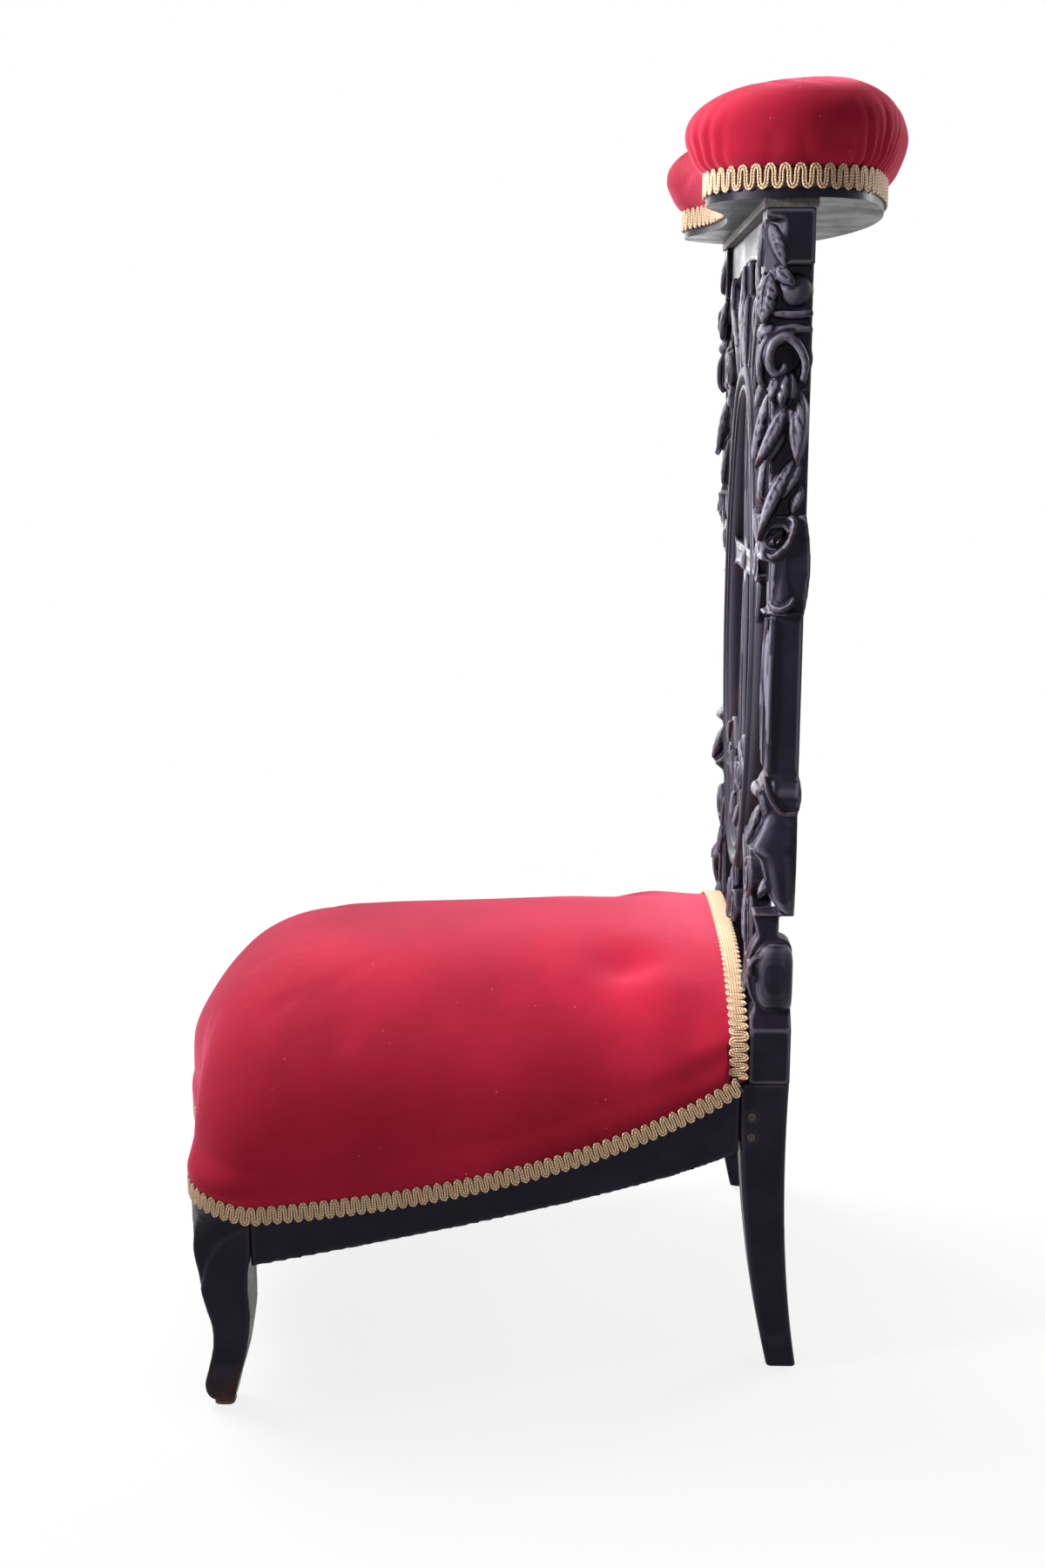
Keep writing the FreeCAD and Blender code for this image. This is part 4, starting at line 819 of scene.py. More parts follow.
def leaf(base: Spot, tip: Spot, face: Spot, width: float, lift: float,
         bend: float = 0.0, curl: float = 0.0, lobes: float = 0.0, veins: int = 5) -> Shell:
    """Carved leaf on a face, sunk into the wood under it.

    Along the leaf u runs from 0 to 1 and across it s from -1 to 1. The half width is sine of pi times u to
    the power 0.75, notched by lobes; the top is a low arch across s, with a groove along the midrib and
    slanting veins; the axis bends sideways by a sine and its tip curls outwards with the square of u.

    Args:
        base: Where the leaf grows from, millimetres.
        tip: Where it ends, millimetres.
        face: Direction out of the wood.
        width: Full width, millimetres.
        lift: Height over the wood, millimetres.
        bend: Sideways bow of the axis, millimetres.
        curl: How far the tip stands off, millimetres.
        lobes: Number of notched lobes on each side.
        veins: Number of veins on each side.

    Returns:
        The closed surface, metres.
    """
    start, end = np.asarray(base, float), np.asarray(tip, float)
    along = unit(end - start)
    out = unit(np.asarray(face, float) - along * np.dot(face, along))
    side = np.cross(out, along)
    u = np.linspace(0, 1, 48)[:, None]
    s = np.linspace(-1, 1, 25)
    half = width / 2 * np.sin(np.pi * np.clip(u, 0.004, 0.996) ** 0.75) ** 0.8
    if lobes:
        half = half * (0.84 + 0.16 * np.abs(np.cos(np.pi * lobes * u)))
    arch = np.sin(np.pi * np.clip(u, 0.03, 0.97)) ** 0.45 * (1 - 0.45 * np.abs(s) ** 3)
    groove = 0.34 * bell(s / 0.11) * np.clip(1.3 - u, 0, 1)
    vein = 0.16 * np.clip(np.sin(2 * np.pi * (veins * u - 1.1 * np.abs(s))), 0, 1) ** 3 * np.abs(s) ** 0.5
    height = lift * (arch - groove - vein) + curl * u ** 2
    axis = start + (end - start) * u[..., None] + side * (bend * np.sin(np.pi * u))[..., None]
    lateral = side * (half * s)[..., None]
    top = axis + lateral + out * height[..., None]
    under = axis + lateral * 0.86 + out * (np.minimum(height - 0.8 * lift, curl * u ** 2) - 2.2)[..., None]
    ring = np.concatenate([top, under[:, ::-1]], 1)
    return capped(ring * MM)


def spiral(centre: Spot, across: Spot, up: Spot, radius: float, turns: float,
           thick: float, start: float = 0.0, eye: float = 0.22) -> Shell:
    """Raised spiral band of a volute: the radius shrinks evenly to the eye while the angle winds on."""
    t = np.linspace(0, 1, int(44 * turns))
    angle = start + 2 * np.pi * turns * t
    reach = radius * (1 - (1 - eye) * t)
    path = (np.asarray(centre, float) + (np.cos(angle) * reach)[:, None] * np.asarray(across, float)
            + (np.sin(angle) * reach)[:, None] * np.asarray(up, float))
    return tube(path * MM, thick * MM * (1 - 0.45 * t), 10)


def bead(points: Sequence[Spot], thick: float, end: float = 0.35) -> Shell:
    """Carved bead along a smooth line, thinning to its ends."""
    path = smooth_path(points, 24 * len(points))
    t = np.linspace(0, 1, len(path))
    return tube(path * MM, thick * MM * (end + (1 - end) * np.sin(np.pi * t) ** 0.5), 12)


@dataclass
class Carver:
    """Turns packed wooden nodes and carved surfaces into one worn skin.

    The copies and the carving are joined by a voxel remesh, their arrises softened by smoothing, and the
    places that stand proud are marked for worn arrises and for a painted highlight on swellings.
    """

    nodes: dict[str, Piece]
    wear_reach: float = 0.16

    def carve(self, name: str, node: str, shells: Sequence[Shell], grain: Grain, voxel: float, soften: int,
              pare: Callable[[Array], Array] | None = None, wax: float = 0.75) -> None:
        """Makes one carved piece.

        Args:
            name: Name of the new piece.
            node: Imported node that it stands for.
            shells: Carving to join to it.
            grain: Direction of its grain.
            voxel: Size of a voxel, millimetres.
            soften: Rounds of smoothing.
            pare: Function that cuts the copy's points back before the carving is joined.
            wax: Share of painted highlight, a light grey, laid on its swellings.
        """
        blank = self.nodes[node]
        if pare is not None:
            blank = shaped(name + "_blank", [], [blank])
            skinned(blank, voxel, 0)
            reshape(blank, pare(point_rows(blank.data)))
        obj = shaped(name, shells, [blank])
        if pare is not None:
            bpy.data.objects.remove(blank)
        skinned(obj, voxel, soften)
        shade_smooth(obj.data)
        mark_wear(obj.data, self.wear_reach * voxel * MM)
        hand_over(obj, EbonisedWood(grain=grain, wax=wax), node)


def both(shells: Sequence[Shell], sign: float) -> list[Shell]:
    """The shells as they are on the right, mirrored on the left."""
    return list(shells) if sign > 0 else [s.mirrored() for s in shells]


@dataclass
class Stiles:
    """The two carved uprights of the back; carving is given for the right one, sizes in millimetres."""

    carver: Carver
    middle: float = 163.0
    inner: float = 156.0
    corner: tuple[float, float, float] = (766, 836, 4)
    cuts: Table = (
        (640, 724, 173.5, 176.5), (726, 762, 174.0, 171.5), (574, 609, FREE, 179.5), (764, 806, 172.0, -FREE))
    pits: Table = ((186, 745, 10.5, 167.0), (183, 625, 7.5, 169.0))
    neck: Table = ((269, 178.5), (284, 168.0), (352, 168.0), (357, 178.5))
    flare_edge: Table = (
        (356, 195), (362, 189), (371, 183.5), (384, 180.5), (397, 177), (403, 170))
    flare: Table = (
        (357, 195, 203, 177.5), (362, 189.3, 203.3, 179), (371, 183.8, 203.3, 180),
        (384, 180.8, 203.3, 180.5), (397, 177, 203.3, 180.5), (402, 171.5, 203.3, 180.5),
        (405, 169.8, 203.3, 180.5), (411, 172.5, 203.3, 180.5), (420, 176.5, 203.3, 180),
        (433, 181, 203.3, 178.5), (441, 182.5, 203, 176.5))
    scroll: Table = (
        (284, 184, 203, 173), (288, 180, 203.3, 177.5), (296, 177, 203.4, 180.3), (310, 175.5, 203.4, 181),
        (322, 176.5, 203.2, 180.3), (329, 180, 201.5, 177.5), (333, 185, 197.5, 172.5))

    def pared(self, points: Array) -> Array:
        """Blank cut back, the same on both sides, where leaves, curl, barrel and flare stand free of it.

        The corner behind the top leaves is planed off at 45 degrees between two heights. Each cut holds x
        below and y above its limits between two heights, and each pit holds x below a limit within a circle
        of the side. The limits of the neck and of the flare follow lines given by height.
        """
        side, x, y, z = right_half(points)
        low, high, past = self.corner
        plane = np.clip(x - y + past, 0, None) / 2 * ((z > low) & (z < high))
        x, y = x - plane, y + plane
        for low, high, outer, front in self.cuts:
            inside = (z > low) & (z < high)
            x, y = np.where(inside, np.minimum(x, outer), x), np.where(inside, np.maximum(y, front), y)
        for middle_y, middle_z, radius, outer in self.pits:
            x = np.where(np.hypot(y - middle_y, z - middle_z) < radius, np.minimum(x, outer), x)
        x = np.minimum(x, np.interp(z, *np.transpose(self.neck), left=FREE, right=FREE))
        y = np.maximum(y, np.interp(z, *np.transpose(self.flare_edge), left=-FREE, right=-FREE))
        return np.column_stack([x * side, y, z]) * MM

    def turned(self, levels: Sequence[Spot]) -> Shell:
        """Full smooth form on the outer face, a squarish ring at each height.

        Args:
            levels: Height, front edge, rear edge and reach outwards of each ring, millimetres.

        Returns:
            The closed form.
        """
        rows = smooth_path(levels, 5 * len(levels))
        loop = squarish(48, 0.6)
        height, front, rear, reach = (rows[:, [k]] for k in range(4))
        x = (reach + self.inner) / 2 + (reach - self.inner) / 2 * loop[:, 0]
        y = (rear + front) / 2 + (rear - front) / 2 * loop[:, 1]
        return capped(np.stack([x, y, np.broadcast_to(height, x.shape)], -1) * MM)

    def side_carving(self) -> list[Shell]:
        """Leaves, curl, barrel with its slanted mouth, roll, flare and small scroll, from the top down."""
        out = (0.84, -0.52, 0.10)
        skew = (0.8, -0.6, 0.0)
        barrel = np.linspace((171.5, 187.5, 577), (171.5, 187.5, 613), 8)
        roll = np.linspace((169.0, 183, 446), (169.0, 203.2, 446), 6)
        return [
            leaf((170, 173, 833), (175, 185, 804), skew, 10.5, 4.5, bend=1, curl=2.0),
            leaf((173, 178, 804), (177, 190, 793), (0.9, -0.4, 0.2), 10, 4.5, curl=1.5, veins=4),
            leaf((169, 174, 801), (170, 172, 767), skew, 17, 5.5, curl=2.5, lobes=3.0, veins=6),
            ball((168, 174.5, 762), (9, 8.5, 7)),
            ball((166, 191, 790), (13.0, 13.0, 12.5)),
            bead([(173.0, 177, 775), (174.5, 190, 774.0), (173.5, 203, 775)], 2.6, end=0.8),
            bead([(173.5, 178, 765), (175.0, 190, 764.0), (174.5, 203, 764.5)], 2.4, end=0.8),
            bead([(172, 203, 764), (174, 194, 765.5), (175, 184, 764.8), (175, 175, 760), (175, 169.5, 752),
                  (175, 168, 743), (174.5, 168.5, 732), (173, 172, 725)], 2.6, end=0.6),
            bead([(176, 197, 729), (178, 198.5, 741), (179, 196, 749), (179.5, 191, 756), (179.5, 184, 759),
                  (179, 177, 755.5), (178.5, 174, 748), (178.5, 174.5, 740), (178, 179, 735.5),
                  (177.5, 184, 738), (177, 184.5, 743)], 3.3, end=0.6),
            leaf((174, 181, 737), (178.5, 176.5, 716), out, 8.5, 4.5, curl=2.0, veins=3),
            leaf((175, 184.5, 737), (179.5, 184.5, 712), out, 9.5, 5.0, curl=2.5, veins=3),
            leaf((174, 188, 737), (178.5, 192, 717), out, 8.5, 4.5, curl=2.0, veins=3),
            leaf((173, 193.5, 728), (177, 196, 675), out, 14.5, 6.0, bend=0.5, curl=2.0, veins=4),
            leaf((173, 187.5, 715), (177, 167, 671.5), out, 9.5, 5.5, bend=1, curl=2.5, veins=6),
            leaf((173, 186, 699), (176, 176, 675.5), out, 8.5, 4.5, bend=-0.5, curl=2.0, veins=4),
            leaf((173, 194, 680), (177.5, 170, 622), out, 9.5, 5.5, bend=-2, curl=2.5, veins=9),
            leaf((172, 197, 678), (175, 186, 651), out, 11, 4.5, curl=1.0, veins=9),
            leaf((172, 198, 662), (174, 193, 640), out, 10, 4.0, curl=0.5, veins=6),
            tube(barrel * MM, 9.2 * MM, 28),
            bead([(174, 171, 623), (180, 179, 612.5), (182, 190, 622), (179.5, 194, 635), (175.5, 190.5, 638),
                  (174, 182, 631), (173.5, 175, 626), (174, 171, 623)], 2.0, end=1.0),
            leaf((170, 189, 634), (174.5, 180, 621), out, 5.5, 3.5, curl=0.5, veins=1),
            bead([(176, 178, 580), (180.5, 184, 576), (181.5, 191, 578), (180, 195.8, 584)], 2.2, end=0.5),
            bead([(178.4, 203, 573.5), (179, 192, 572.5), (177, 179, 573)], 1.4, end=0.8),
            bead([(175.3, 181.5, 569), (175.5, 180.5, 515), (175.3, 181, 461)], 2.2, end=0.8),
            tube(roll * MM, 11.5 * MM, 32),
            ball((169, 184.5, 446.5), (11.8, 6.5, 12)),
            bead([(177, 178.5, 459), (180.5, 180.5, 448), (180.5, 185.5, 438), (180, 192.5, 431.5),
                  (178, 203, 431.5)], 1.6, end=0.6),
            leaf((174, 184, 384), (175.5, 176.5, 368), out, 7.0, 3.0, curl=1.0, veins=3),
            self.turned(self.flare),
            self.turned(self.scroll),
            spiral((175.5, 180, 318), (0, -1, 0), (0, 0, 1), 8.5, 1.4, 2.4, -1.2, 0.25),
        ]

    def front_carving(self) -> list[Shell]:
        """Leaves, moulding and curls on the kneeling side."""
        x = self.middle
        return [
            leaf((x - 6, 171, 836), (x - 2, 170, 806), KNEELING, 13, 4.0, curl=2.0, veins=4),
            leaf((x - 6, 172, 802), (x - 4, 170, 768), KNEELING, 15, 4.5, curl=2.0, lobes=2.5, veins=4),
            leaf((x - 2, 176, 722), (x - 2, 170, 676), KNEELING, 18, 5.0, curl=3.0, lobes=3.5),
            leaf((x - 7, 177, 690), (x - 4, 173, 646), KNEELING, 10, 4.0, bend=1.5, curl=1.5),
            leaf((x + 4, 177, 690), (x + 2, 173, 650), KNEELING, 10, 4.0, bend=-1.5, curl=1.5),
            bead([(x - 11.5, 180, 568), (x - 12, 178.5, 515), (x - 11.5, 179.5, 462)], 2.2, end=0.7),
            leaf((x, 180, 560), (x, 180.5, 500), KNEELING, 11, 2.6, veins=6),
            bead([(x - 15, 176.5, 446), (x, 175, 446), (x + 15, 176.5, 446)], 4.5, end=0.8),
            leaf((x, 177, 434), (x, 170, 405), KNEELING, 20, 3.4, curl=2.0, lobes=3.0),
            spiral((x - 8, 171.5, 314), (-1, 0, 0), (0, 0, 1), 7.5, 1.4, 1.9, -0.5, 0.25),
            spiral((x + 8, 171.5, 314), (1, 0, 0), (0, 0, 1), 7.5, 1.4, 1.9, -0.5, 0.25),
        ]

    def build(self) -> None:
        """Carves both stiles."""
        shells = self.side_carving() + self.front_carving()
        for side, sign in SIDES:
            self.carver.carve("carved_stile_" + side, "back_stile_" + side, both(shells, sign), Grain.UPRIGHT,
                              voxel=1.05, soften=1, pare=self.pared)


@dataclass
class OvalFrame:
    """Moulded oval of the back: a profile carried round four arcs that run into each other, millimetres."""

    high: float = 197.0
    wide: float = 116.0
    end_share: float = 0.69
    centre_z: float = 547.0
    front: float = 175.0
    thick: float = 16.0
    band: float = 18.0
    ground: float = 0.6
    chamfer: float = 1.2
    quarter: int = 65

    def rim(self) -> tuple[Array, Array]:
        """Points of the outer rim in x and z, and their outward directions, evenly round the four arcs."""
        end_radius = self.end_share * self.wide
        chord = self.high ** 2 + self.wide ** 2 - 2 * self.high * end_radius
        side_radius = chord / (2 * (self.wide - end_radius))
        drop = self.high - end_radius
        back = self.wide - side_radius
        turn = np.arctan2(drop, -back)
        points, outward = joined([
            bow((back, 0), side_radius, -turn, turn, self.quarter),
            bow((0, drop), end_radius, turn, np.pi - turn, self.quarter),
            bow((-back, 0), side_radius, np.pi - turn, np.pi + turn, self.quarter),
            bow((0, -drop), end_radius, np.pi + turn, 2 * np.pi - turn, self.quarter),
        ])
        return points + np.array([0, self.centre_z]), outward

    def half_round(self, start: float, width: float, height: float, count: int) -> Array:
        """Half round across a part of the band, a hollow where its height is negative."""
        turn = np.linspace(0, np.pi, count)
        return np.stack([start + width / 2 * (1 - np.cos(turn)), self.ground + height * np.sin(turn)], 1)

    def profile(self) -> Array:
        """Section of the moulding: depth in from the rim and height towards the kneeling side."""
        deep, cut = -self.thick, self.chamfer
        back = [[self.band, -1.0], [self.band, deep + cut], [self.band - cut, deep], [cut, deep],
                [0.0, deep + cut], [0.0, -0.6]]
        return np.concatenate([self.half_round(0.0, 8.0, 3.2, 12), self.half_round(8.2, 5.4, -2.2, 12),
                               self.half_round(13.6, 4.0, 1.8, 9), back])

    def build(self) -> None:
        """Carries the moulding round the rim and places the frame."""
        points, outward = self.rim()
        section = self.profile()
        plan = points[:, None] - outward[:, None] * section[None, :, :1]
        depth = np.broadcast_to(self.front - section[:, 1], plan.shape[:2])
        shape = np.stack([plan[..., 0], depth, plan[..., 1]], -1) * MM
        obj = shaped("moulded_oval", [grid(shape, True, True)])
        mark_wear(obj.data, 0.0012)
        hand_over(obj, EbonisedWood(grain=Grain.UPRIGHT), "back_oval_frame")


@dataclass
class PiercedPanel:
    """Cross, scrolls, crest and feet between the stiles; carving is given for the right, millimetres."""

    carver: Carver
    front: float = 175.0
    cross_front: float = 177.5
    proud: float = 2.6

    def volute(self, x: float, z: float, radius: float, turns: float, thick: float, start: float) -> Shell:
        """Spiral raised on the panel's face, wound outwards from the middle of the back."""
        across = (np.sign(x), 0.0, 0.0)
        return spiral((x, self.front - self.proud, z), across, UPWARDS, radius, turns, thick, start, 0.2)

    def upper(self) -> list[Shell]:
        """Curled ribbon under the top rail with its leaves."""
        y = self.front
        return [
            self.volute(133, 743, 12, 1.6, 2.2, 1.8),
            bead([(52, y, 728), (72, y - 0.5, 757), (104, y - 0.5, 779), (132, y, 760)], 2.4),
            leaf((70, y - 0.5, 762), (104, y - 1, 792), KNEELING, 13, 3.5,
                 bend=2, curl=1.0, lobes=2.5, veins=4),
            leaf((112, y, 776), (96, y - 1, 816), KNEELING, 15, 3.6, bend=-2, curl=1.5, lobes=3.0, veins=4),
            leaf((128, y, 730), (112, y - 1, 712), KNEELING, 10, 3.4, curl=1.5, veins=3),
        ]

    def side(self) -> list[Shell]:
        """Small bridge scroll at the waist."""
        y = self.front
        return [
            self.volute(134, 605, 10, 1.5, 2.0, 2.4),
            leaf((118, y, 618), (123, y - 1, 644), KNEELING, 10, 3.2, curl=1.0, lobes=2.0, veins=3),
        ]

    def lower(self) -> list[Shell]:
        """S-scroll down to the seat rail with a leaf at its knee and a spread foot."""
        y = self.front
        return [
            self.volute(133, 374, 12, 1.6, 2.2, 1.8),
            bead([(74, y, 392), (104, y - 0.5, 374), (121, y - 0.5, 322), (129, y, 268)], 2.6),
            leaf((110, y, 362), (132, y - 1.5, 322), KNEELING, 14, 3.8, bend=-3, curl=1.5, lobes=3.0),
            leaf((126, y, 306), (118, y - 2, 268), KNEELING, 15, 4.0, bend=2, curl=2.0, lobes=3.0, veins=4),
            leaf((131, y, 304), (140, y - 2, 268), KNEELING, 12, 4.0, bend=-2, curl=2.0, lobes=3.0, veins=4),
        ]

    def inner(self) -> list[Shell]:
        """Leafy scroll inside the foot of the oval."""
        y = self.front
        return [
            self.volute(40, 432, 9, 1.5, 1.9, 2.0),
            leaf((70, y, 436), (44, y - 1, 460), KNEELING, 11, 3.4, bend=-2, curl=1.0, lobes=2.5, veins=4),
            leaf((24, y, 416), (16, y - 1, 442), KNEELING, 10, 3.2, bend=1, curl=1.2, lobes=2.5, veins=3),
            leaf((26, y, 404), (12, y - 1, 384), KNEELING, 9, 3.0, curl=1.0, veins=3),
        ]

    def crest(self) -> list[Shell]:
        """Palmette of three veined leaves over the oval."""
        y = self.front
        return [
            leaf((0, y, 742), (0, y - 1.5, 818), KNEELING, 24, 4.5, curl=1.5, veins=6),
            leaf((4, y, 742), (34, y - 1, 796), KNEELING, 15, 4.0, bend=3, curl=1.5),
            leaf((-4, y, 742), (-34, y - 1, 796), KNEELING, 15, 4.0, bend=-3, curl=1.5),
        ]

    def foot(self) -> list[Shell]:
        """Carved foot under the oval, two curls and a spread leaf."""
        y = self.front
        return [
            self.volute(20, 320, 11, 1.6, 2.0, 2.0),
            self.volute(-20, 320, 11, 1.6, 2.0, 2.0),
            leaf((0, y, 350), (0, y - 2, 268), KNEELING, 26, 4.5, curl=2.0, lobes=3.5, veins=6),
        ]

    def cross(self) -> list[Shell]:
        """Raised edge lines and a boss on the cross."""
        y = self.cross_front
        shells = [ball((0, y + 1, 596), (9, 4.5, 9))]
        for s in (1.0, -1.0):
            lines = (((s * 5.5, y, 612), (s * 5.5, y - 0.3, 680), (s * 12, y, 722)),
                     ((s * 5.5, y, 580), (s * 5.5, y - 0.3, 470), (s * 12, y, 372)),
                     ((s * 16, y, 601.5), (s * 60, y, 601.5), (s * 94, y, 609)),
                     ((s * 16, y, 590.5), (s * 60, y, 590.5), (s * 94, y, 583)))
            shells += [bead(line, 1.4, end=0.6) for line in lines]
        return shells

    def build(self) -> None:
        """Carves every piece of the panel."""
        scrolls = {"upper": self.upper(), "side": self.side(), "lower": self.lower(), "inner": self.inner()}
        pieces = [(f"leafy_{part}_scroll_{side}", f"{part}_scroll_{side}", both(shells, sign))
                  for side, sign in SIDES for part, shells in scrolls.items()]
        pieces.append(("palmette_crest", "back_crest", self.crest()))
        pieces.append(("carved_middle_foot", "back_middle_foot", self.foot()))
        for name, node, shells in pieces:
            self.carver.carve(name, node, shells, Grain.UPRIGHT, voxel=0.95, soften=2)
        self.carver.carve("flared_cross", "back_cross", self.cross(), Grain.UPRIGHT, voxel=1.0, soften=2)
        self.carver.carve("arched_top_rail", "back_top_rail", [], Grain.ACROSS, voxel=1.3, soften=2)


@dataclass
class SeatFrame:
    """Legs and seat rails, worn soft; the front legs sway and their knees are round, millimetres."""

    carver: Carver
    front_face: Table = (
        (3.0, -214.8), (6.0, -218.6), (10.0, -221.2), (16.0, -222.3), (26.0, -219.9), (40.0, -216.8),
        (51.0, -216.0), (62.0, -216.8), (74.0, -219.8), (98.0, -225.2), (118.0, -227.0), (136.0, -227.0))
    rear_face: Table = (
        (3.0, -200.8), (8.0, -199.6), (18.0, -197.4), (39.0, -191.8), (64.0, -188.3), (78.0, -188.4),
        (92.0, -189.0), (118.0, -187.8))
    arris: Table = (
        (80.0, -226.0), (88.0, -221.0), (108.0, -216.0), (125.0, -206.5), (136.0, -190.0))
    knee_centre: tuple[float, float] = (184.7, -190.0)
    knee_radius: float = 47.3
    corner_y: float = -187.0
    # share of painted highlight on the swellings, kept low on legs and rails
    wax: float = 0.12
    feet: Table = ((163.0, 203.0, 9.0), (231.0, -208.4, 7.4))
    slices: int = 76
    slice_high: float = 2.0
    mean_slices: float = 6.0
    sway_top: float = 102.0
    sway_fade: float = 16.0
    toe_top: float = 11.0
    toe_fade: float = 8.0
    toe_pinch: float = 0.24
    knee_low: float = 78.0
    knee_from: float = 124.0
    knee_wall: float = 16.0
    under_gimp: float = 5.0

    def swayed(self, points: Array) -> Array:
        """Front leg drawn into one smooth S, with the knee rounded and the toe pinched.

        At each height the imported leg's span from front to rear is stretched to the span between two smooth
        lines and its span across is replaced by a running mean of itself; the outer corner is then held
        inside a circle whose middle follows the carved arris.
        """
        side, x, y, z = right_half(points)
        steps = np.arange(self.slices)
        level = np.clip((z / self.slice_high).astype(int), 0, self.slices - 1)
        mean = bell((steps[:, None] - steps) / self.mean_slices)

        def span(values: Array) -> tuple[Array, Array, Array]:
            """Least and greatest value in each slice, gaps filled, and where each point lies between them."""
            low, high = np.full(self.slices, FREE), np.full(self.slices, -FREE)
            np.minimum.at(low, level, values)
            np.maximum.at(high, level, values)
            known = np.flatnonzero(high > low)
            low, high = (np.interp(steps, known, part[known]) for part in (low, high))
            return low, high, (values - low[level]) / np.maximum(high - low, 1)[level]

        def follow(line: Sequence[Spot]) -> Array:
            """Smooth line's value at each point's height."""
            path = smooth_path(line, 12 * len(line))
            return np.interp(z, path[:, 0], path[:, 1])

        keep = np.clip((z - self.sway_top) / self.sway_fade, 0, 1)
        share = span(y)[2]
        front, rear = follow(self.front_face), follow(self.rear_face)
        y = keep * y + (1 - keep) * (front + share * (rear - front))
        low, high, share = span(x)
        middles = self.slice_high * (steps + 0.5)
        inner, outer = (np.interp(z, middles, (mean @ part) / mean.sum(1)) for part in (low, high))
        pinch = self.toe_pinch * np.clip((self.toe_top - z) / self.toe_fade, 0, 1) ** 2
        x = keep * x + (1 - keep) * (inner + (0.5 + (share - 0.5) * (1 - pinch)) * (outer - inner))
        across = x - self.knee_centre[0]
        ahead = y - (self.knee_centre[1] + follow(self.arris) - self.corner_y)
        held = (across > 0) & (ahead < 0) & (z > self.knee_low)
        shrink = np.where(held, np.minimum(1, self.knee_radius / np.hypot(across, ahead)), 1.0)
        x, y = self.knee_centre[0] + across * shrink, y + ahead * (shrink - 1)
        return np.column_stack([x * side, y, z]) * MM

    def knee(self, plan: SeatPlan) -> Shell:
        """Rounded top of the right knee up to the gimp: a wall carried round the corner's quarter circle."""
        ray = rays(np.linspace(0.06, -np.pi / 2, 30))
        outer = np.asarray(self.knee_centre) + ray * self.knee_radius
        inner = np.asarray(self.knee_centre) + ray * (self.knee_radius - self.knee_wall)
        top = plan.gimp_line(outer[:, 1]) + self.under_gimp
        low = self.knee_from
        walls = [raised(outer, low), raised(outer, top), raised(inner, top), raised(inner, low)]
        return capped(np.stack(walls, 1) * MM)

    def pads(self) -> list[Shell]:
        """Leather pads under the feet: squarish rings drawn in at the floor."""
        loop = squarish(40, 0.5)
        levels = ((0.88, 0.0), (1.0, 0.9), (1.0, 3.4))
        shells = []
        for x, y, half in self.feet:
            rings = [raised(np.array([x, y]) + share * half * loop, z) for share, z in levels]
            shells.append(capped(np.array(rings) * MM))
        return shells

    def build(self) -> None:
        """Makes the legs, the pads under them and the rails."""
        pads, knee = self.pads(), [self.knee(SeatPlan())]
        carve, wax = self.carver.carve, self.wax
        hand_over(shaped("leather_feet", pads + both(pads, -1.0)), GlideLeather(), "foot_glides")
        for side, sign in SIDES:
            carve("cabriole_leg_" + side, "front_leg_" + side, both(knee, sign), Grain.UPRIGHT,
                  voxel=1.1, soften=4, pare=self.swayed, wax=wax)
            carve("sabre_leg_" + side, "rear_leg_" + side, [], Grain.UPRIGHT, voxel=1.2, soften=3, wax=wax)
            carve("side_rail_" + side, "side_seat_rail_" + side, [], Grain.ALONG,
                  voxel=1.5, soften=2, wax=wax)
        carve("bowed_front_rail", "front_seat_rail", [], Grain.ACROSS, voxel=1.5, soften=2, wax=wax)
        carve("rear_rail", "rear_seat_rail", [], Grain.ACROSS, voxel=1.6, soften=2, wax=wax)


# Outlines of the upholstery


